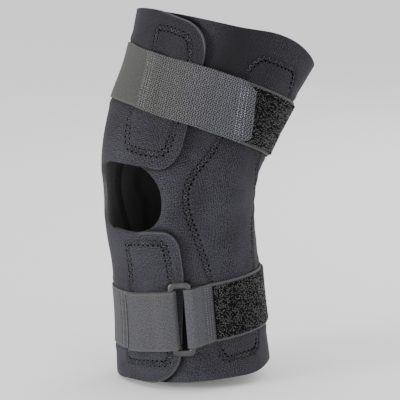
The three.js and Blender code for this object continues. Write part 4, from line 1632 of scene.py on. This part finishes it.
@dataclass(kw_only=True)
class PiledStrap:
    """What both straps share: webbing on the sleeve, and a strip of loop pile on the webbing."""

    form: LegForm
    sleeve: Sleeve
    line: StrapLine
    pile_start: float
    pile_end: float
    on_sleeve: float = ON_SLEEVE
    webbing: float = WEBBING
    gap: float = GAP
    pile_edge: float = 2.2
    tape: float = 0.5

    @property
    def on_webbing(self) -> float:
        """The offset of what lies on the webbing."""
        return self.on_sleeve + self.webbing + self.gap

    def base(self, angle: np.ndarray) -> np.ndarray:
        """The offset of the webbing's middle where it lies on the sleeve."""
        return self.on_sleeve + self.sleeve.rise_at(angle) + self.webbing / 2

    def edges(self, angle: np.ndarray, narrower: float = 0.0) -> tuple[np.ndarray, np.ndarray]:
        """The strap's two edges at angles, each moved in by a width."""
        middle, half = self.line.middle(angle), self.line.width / 2 - narrower
        return middle - half, middle + half

    def pile_edges(self, angle: np.ndarray) -> tuple[np.ndarray, np.ndarray]:
        """The pile's two edges, inside the strap's."""
        return self.edges(angle, self.pile_edge)

    def build_pile(self, name: str, level: float, loops: Pile, material: bpy.types.Material) -> None:
        """Makes the pile's tape and its loops.

        Args:
            name: The start of the pieces' names and of the node's.
            level: The height at which the tape's length is measured.
            loops: The loops.
            material: The finish of both.
        """
        path = plain_path(self.pile_start, self.pile_end, self.on_webbing + self.tape / 2)
        tape = Strap(f"{name}_tape", self.tape, path, self.pile_edges, level, self.form.point, rows=12)
        settle(tape.build(self.form, material), "loop_pile", name)
        ends = (self.pile_start + 1, self.pile_end - 1)
        grown = loops.build(self.form.point, ends, self.pile_edges, self.on_webbing + self.tape, material)
        settle(grown, "loop_pile")


@dataclass(kw_only=True)
class ThighStrap(PiledStrap):
    """The upper strap: webbing round the back, elastic over the front, and the pile that its tip closes on."""

    line: StrapLine = THIGH_LINE
    pile_start: float = 60.0
    pile_end: float = 215.0
    pile: float = 1.2
    elastic: float = 1.6
    skew: float = 0.2
    tip: float = 90.0
    chamfer_length: float = 9.0
    chamfer_width: float = 6.0
    elastic_start: float = 6.0
    lap: float = 10.0
    lap_stitch: Stitch = Stitch(2.2, 0.45, 0.75)
    tip_stitch: Stitch = Stitch(2.0, 0.42, 0.56)

    @property
    def lap_end(self) -> float:
        """Where the elastic's lap over the webbing ends."""
        return self.elastic_start + self.lap

    @property
    def chamfer_start(self) -> float:
        """Where the tip's corners start to be cut off."""
        return self.tip - float(self.form.degrees_of(self.chamfer_length, self.line.level))

    def skewed(self, angle: np.ndarray, height: np.ndarray, offset: np.ndarray) -> np.ndarray:
        """A point of the elastic, whose ends slant."""
        return self.form.point(angle - self.skew * (height - self.line.middle(angle)), height, offset)

    def front_skewed(self, angle: np.ndarray, height: np.ndarray, offset: np.ndarray) -> np.ndarray:
        """A point of the webbing, which slants only where it comes to the front."""
        slant = self.skew * smoothstep(angle, self.sleeve.rise_end + 5, 360)
        return self.form.point(angle - slant * (height - self.line.middle(angle)), height, offset)

    def elastic_offset(self, angle: np.ndarray) -> np.ndarray:
        """The elastic's middle: over its lap, down to the flap, and up on the pile."""
        on_flap, on_pile = self.on_sleeve + self.sleeve.rise, self.on_webbing + self.pile + self.gap
        lap = (self.webbing + self.gap) * (1 - smoothstep(angle, self.lap_end + 1, self.lap_end + 8))
        inner = lerp(on_flap, on_pile, smoothstep(angle, self.sleeve.flap_edge, self.pile_start + 5))
        return inner + lap + self.elastic / 2

    def elastic_edges(self, angle: np.ndarray) -> tuple[np.ndarray, np.ndarray]:
        """The elastic's two edges, cut off at the tip's corners."""
        cut = self.chamfer_width * np.clip((angle - self.chamfer_start) / (self.tip - self.chamfer_start), 0, 1)
        low, high = self.edges(angle)
        return low + cut, high - cut

    def build(self, finishes: dict[str, bpy.types.Material]) -> None:
        """Makes the strap's pieces.

        Args:
            finishes: The materials by name.
        """
        form, level = self.form, self.line.level
        path = plain_path(self.pile_start, 360 + self.lap_end, self.base)
        band = Strap("thigh_webbing_band", self.webbing, path, self.edges, level, self.front_skewed)
        settle(band.build(form, finishes["webbing"]), "webbing", "thigh_webbing")
        self.build_pile("thigh_pile", level, Pile("thigh_pile_loops", 1.3, 1.1, 0.5, 0.4), finishes["pile"])
        straight = plain_path(self.elastic_start, self.chamfer_start, self.elastic_offset)
        path = np.concatenate([straight, plain_path(self.chamfer_start, self.tip, self.elastic_offset)[1:]])
        elastic = Strap("thigh_elastic_band", self.elastic, path, self.elastic_edges, level, self.skewed)
        settle(elastic.build(form, finishes["elastic"]), "elastic", "thigh_elastic")
        rows = (
            ("lap", self.elastic_start, (2.2, 4.6, 7.0), "pale_thread", 2.0, self.lap_stitch),
            ("tip", self.tip, (-6.2, -8.6, -11.0), "bright_thread", 5.0, self.tip_stitch),
        )
        for part, start, steps, thread, inset, stitch in rows:
            for number, step in enumerate(steps, 1):
                name = f"thigh_{part}_stitches_{number}"
                settle(elastic.stitches(form, name, start + step, finishes[thread], inset, stitch), "elastic")


@dataclass(kw_only=True)
class CalfStrap(PiledStrap):
    """The lower strap: two pieces of webbing that meet in the ring, and the pile round the outer side."""

    seat: RingSeat
    line: StrapLine = CALF_LINE
    pile_start: float = 76.0
    pile_end: float = 186.0
    back_join: float = 192.0
    free_end: float = -1.5
    # A dense near-black row at the free end: partly its bar tack, partly painted shadow.
    end_shadow_stitch: Stitch = Stitch(1.5, 0.85, 0.5)
    side_stitch: Stitch = Stitch(2.0, 0.45, 0.75)
    tail_stitch: Stitch = Stitch(2.0, 0.4, 0.6)
    stitch_inset: float = 1.5

    def pull_path(self) -> np.ndarray:
        """The path of the piece that is pulled through the ring and folded back to its free end."""
        seat, fold = self.seat, self.seat.fold(1)
        over_angle, over_offset = fold[-1]
        folded = seat.under_bar + self.webbing + self.gap
        back = Ramp(360 + seat.angle - 24, 360 + over_angle, folded, over_offset)
        return np.concatenate(
            [
                plain_path(self.back_join, 360 + fold[0, 0] - 3, self.base),
                fold + np.array([360.0, 0.0]),
                plain_path(360 + over_angle - 1.5, 360 + self.free_end, back.at),
            ]
        )

    def anchor_path(self) -> np.ndarray:
        """The path of the piece that carries the ring and lies back round the outer side."""
        seat, fold = self.seat, self.seat.fold(-1)
        tail_end, start = seat.angle + 19, self.pile_start
        base = self.on_sleeve + self.webbing / 2
        doubled = base + self.webbing + self.gap
        (under_angle, under_offset), (over_angle, over_offset) = fold[0], fold[-1]
        under = Ramp(under_angle + 1, seat.angle + 16, under_offset, base)
        over = Ramp(over_angle + 4, tail_end, over_offset, doubled)
        down = Ramp(tail_end + 1, start - 2, doubled, base)
        return np.concatenate(
            [
                plain_path(tail_end, under_angle + 1, under.at),
                fold,
                plain_path(over_angle + 1, tail_end + 1, over.at),
                plain_path(tail_end + 2, start - 2, down.at),
                plain_path(start - 1, self.back_join - 1, base),
            ]
        )

    def build(self, finishes: dict[str, bpy.types.Material]) -> None:
        """Makes the strap's pieces.

        Args:
            finishes: The materials by name.
        """
        form, seat = self.form, self.seat
        pull = Strap("calf_pull_band", self.webbing, self.pull_path(), self.edges, seat.height, seat.place)
        settle(pull.build(form, finishes["calf_webbing"]), "webbing", "calf_pull_strap")
        anchor = Strap("calf_anchor_band", self.webbing, self.anchor_path(), self.edges, seat.height, seat.place)
        settle(anchor.build(form, finishes["ring_webbing"]), "webbing", "calf_anchor_strap")
        end, tail = 360 + self.free_end, self.pile_start
        rows = (
            # Partly the free end's bar tack, partly painted shadow in the gap under the end.
            (pull, "calf_end_shadow_stitches", end + 0.8, "hole", self.end_shadow_stitch),
            (pull, "calf_end_stitches_2", end - 3.5, "pale_thread", self.side_stitch),
            (pull, "calf_end_stitches_3", end - 6.0, "thread", self.side_stitch),
            (pull, "calf_end_stitches_4", end - 8.5, "pale_thread", self.side_stitch),
            (pull, "calf_end_stitches_5", end - 11.0, "thread", self.side_stitch),
            (anchor, "calf_tail_stitches_1", tail - 2.2, "pale_thread", self.tail_stitch),
            (anchor, "calf_tail_stitches_2", tail - 4.6, "pale_thread", self.tail_stitch),
            (anchor, "calf_tail_stitches_3", tail - 7.0, "pale_thread", self.tail_stitch),
        )
        for strap, name, angle, thread, stitch in rows:
            row = strap.stitches(form, name, angle, finishes[thread], self.stitch_inset, stitch)
            settle(row, "webbing")
        settle(StrapRing(seat).build(finishes["ring"]), "ring_plastic", "strap_ring")
        self.build_pile("calf_pile", seat.height, Pile("calf_pile_loops", 1.12, 0.8, 0.55, 0.42), finishes["pile"])


@dataclass
class HookPatch:
    """A patch of hook tape between the wrap's start and a flap."""

    name: str
    node: str
    low: float
    high: float
    sleeve: Sleeve
    width: float = 34.0
    offset: float = ON_SLEEVE
    plate: float = 1.0
    thickness: float = 0.5

    def place(self, angle: np.ndarray, height: np.ndarray, offset: np.ndarray) -> np.ndarray:
        """A point of the patch, which turns with the flap's edge."""
        return self.sleeve.form.point(self.sleeve.flap_angle(angle, height), height, offset)

    def edges(self, angle: np.ndarray) -> tuple[np.ndarray, np.ndarray]:
        """The patch's two edges, level at every angle."""
        return np.full(np.shape(angle), self.low), np.full(np.shape(angle), self.high)

    def build(self, finishes: dict[str, bpy.types.Material]) -> None:
        """Makes the tape and its hooks.

        Args:
            finishes: The materials by name.
        """
        form = self.sleeve.form
        right = self.sleeve.end - self.sleeve.patch_inset
        left = right - self.width
        outer = self.offset + self.plate - self.thickness / 2
        path, level = plain_path(left, right, outer), (self.low + self.high) / 2
        tape = Strap(self.name, self.thickness, path, self.edges, level, self.place, rows=40)
        settle(tape.build(form, finishes["hook"]), "hook_tape", self.node)
        hooks = Pile(f"{self.name}_hooks", 2.0, -0.5, 0.5, 0.24)
        base = outer - self.thickness / 2 + 0.1
        settle(hooks.build(self.place, (left + 1, right - 1), self.edges, base, finishes["hook"]), "hook_tape")


@dataclass(frozen=True)
class Lamp:
    """One soft square lamp that hangs round the object and shines on it.

    Attributes:
        name: The lamp's name.
        azimuth: Its direction round the object, as a camera's.
        elevation: Its height in degrees.
        distance: How far it hangs from the origin.
        size: The side of its square face.
        power: Its watts.
    """

    name: str
    azimuth: float
    elevation: float
    distance: float
    size: float
    power: float


@dataclass
class Studio:
    """The floor, the light and the camera."""

    azimuth: float = 54.0
    elevation: float = 9.0
    distance: float = 2.2
    lens: float = 232.9
    right_shift: float = 0.0117
    down_shift: float = 0.01105
    floor_height: float = -0.1645
    sky: float = 1.3
    lamps: tuple[Lamp, ...] = (
        Lamp("key", 0.0, 6.0, 1.6, 0.6, 33.0),
        Lamp("fill", 85.0, -4.0, 1.8, 0.8, 29.0),
        Lamp("back", 190.0, 25.0, 1.8, 1.2, 16.0),
    )

    def axes(self, azimuth: float, elevation: float) -> tuple[Vector, Vector, Vector]:
        """The directions to the right, up and back of a camera that looks at the origin."""
        a, e = math.radians(azimuth), math.radians(elevation)
        back = Vector((math.sin(a) * math.cos(e), -math.cos(a) * math.cos(e), math.sin(e)))
        right = Vector((math.cos(a), math.sin(a), 0.0))
        return right, back.cross(right), back

    def camera(self) -> None:
        """Sets the camera at the photograph's angle."""
        right, up, back = self.axes(self.azimuth, self.elevation)
        data = bpy.data.cameras.new("camera")
        data.sensor_width, data.lens = 36.0, self.lens
        data.clip_start, data.clip_end = 0.05, 50.0
        camera = bpy.data.objects.new("camera", data)
        turn = Matrix((right, up, back)).transposed().to_4x4()
        place = right * self.right_shift - up * self.down_shift + back * self.distance
        camera.matrix_world = Matrix.Translation(place) @ turn
        bpy.context.scene.collection.objects.link(camera)
        bpy.context.scene.camera = camera

    def hang(self, lamp: Lamp) -> None:
        """Hangs one lamp."""
        data = bpy.data.lights.new(lamp.name, "AREA")
        data.size, data.energy = lamp.size, lamp.power
        hung = bpy.data.objects.new(lamp.name, data)
        _, _, back = self.axes(lamp.azimuth, lamp.elevation)
        turn = back.to_track_quat("Z", "Y").to_matrix().to_4x4()
        hung.matrix_world = Matrix.Translation(back * lamp.distance) @ turn
        bpy.context.scene.collection.objects.link(hung)

    def build(self) -> None:
        """Makes the whole studio."""
        bm = bmesh.new()
        bmesh.ops.create_grid(bm, x_segments=1, y_segments=1, size=12.0)
        bmesh.ops.translate(bm, verts=bm.verts, vec=(0.0, 0.0, self.floor_height))
        make_piece("studio_floor", bm, [FloorFinish().material()])
        world = bpy.data.worlds.new("studio")
        world.use_nodes = True
        sky = world.node_tree.nodes["Background"]
        sky.inputs[0].default_value, sky.inputs[1].default_value = (1.0, 1.0, 1.0, 1.0), self.sky
        bpy.context.scene.world = world
        for lamp in self.lamps:
            self.hang(lamp)
        self.camera()


@dataclass
class KneeBrace:
    """The whole brace."""

    frame: dict[str, object]
    form: LegForm = field(default_factory=LegForm)

    def finishes(self) -> dict[str, bpy.types.Material]:
        """Every material by name."""
        return {
            "jersey": JerseyFinish().material(),
            "foam": FoamFinish().material(),
            "lining": LiningFinish().material(),
            "webbing": WebbingFinish().material(),
            "calf_webbing": WebbingFinish("calf_webbing", grey(0.006, 1.1), grey(0.056, 1.12)).material(),
            "ring_webbing": WebbingFinish("ring_webbing", grey(0.008, 1.25), grey(0.068, 1.2)).material(),
            "elastic": ElasticFinish().material(),
            "pile": PileFinish().material(),
            "thread": ThreadFinish("seam_thread", grey(0.006, 1.1), grey(0.085, 1.15), 0.2).material(),
            # Near-black painted shade for the needle holes and the calf strap's free end.
            "hole": ThreadFinish("needle_hole_shade", grey(0.0003), grey(0.001), 0.0).material(),
            "pale_thread": ThreadFinish("pale_thread", grey(0.08), grey(0.2)).material(),
            "bright_thread": ThreadFinish("bright_thread", grey(0.14, 1.1), grey(0.4, 1.1)).material(),
            "ring": MouldedFinish("ring_plastic", grey(0.011, 1.03), grey(0.028, 1.03), 0.32).material(),
            "hook": MouldedFinish("hook_tape", grey(0.01), grey(0.025), 0.6).material(),
            "stay": StayFinish().material(),
        }

    def flap_seams(self, offset: float) -> list[Seam]:
        """The two rectangles of zigzag that hold the hook patches."""
        upper = (
            *((1, 118), (13, 118), (25, 115.5), (29.5, 111.5), (35, 96), (41, 60), (43.5, 39)),
            *((42, 27), (37, 22), (22, 21.5), (9, 23), (6.5, 30), (5, 50), (3, 100)),
        )
        lower = (
            *((4, -37), (15, -35.5), (37, -35), (40.5, -38), (41, -63), (38, -100), (34, -133)),
            *((31, -137), (14, -137.5), (-5, -140), (-7, -136), (-2, -100), (1, -73), (3, -50)),
        )
        return [Seam("upper_flap_seam", upper, offset), Seam("lower_flap_seam", lower, offset)]

    def build(self) -> None:
        """Makes every piece in order."""
        form, finishes = self.form, self.finishes()
        sleeve = Sleeve(form)
        pockets = [HingePocket(Side.OUTER), HingePocket(Side.INNER)]
        seams = self.flap_seams(sleeve.neoprene + sleeve.rise)
        seams += [p.seam(form, sleeve.neoprene, f"{p.side.value}_pocket_seam") for p in pockets]
        cloths = [finishes["jersey"], finishes["foam"], finishes["lining"]]
        body = settle(sleeve.build(seams, cloths), "neoprene", "sleeve")
        sleeve.flat_size()
        sleeve.flat_area()
        for seam in seams:
            seam.build(form, finishes)
        for pocket in pockets:
            panel = pocket.build(form, finishes["lining"])
            settle(panel, "neoprene", f"{pocket.side.value}_hinge_pocket")
            flat, area = pocket.flat_size(form)
            stay = self.frame["nodes"][f"{pocket.side.value}_hinge_stay"]
            stay.data.materials.clear()
            stay.data.materials.append(finishes["stay"])
        HookPatch("upper_hook_tape", "upper_hook_patch", 22.8, 116.6, sleeve).build(finishes)
        HookPatch("lower_hook_tape", "lower_hook_patch", -135.5, -35.4, sleeve).build(finishes)
        ThighStrap(form=form, sleeve=sleeve).build(finishes)
        CalfStrap(form=form, sleeve=sleeve, seat=RingSeat(form)).build(finishes)


def main() -> None:
    """Builds the brace round its frame."""
    logging.basicConfig(level=logging.INFO, format="%(name)s %(message)s")
    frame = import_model()
    KneeBrace(frame).build()
    Studio().build()


if __name__ == "__main__":
    main()
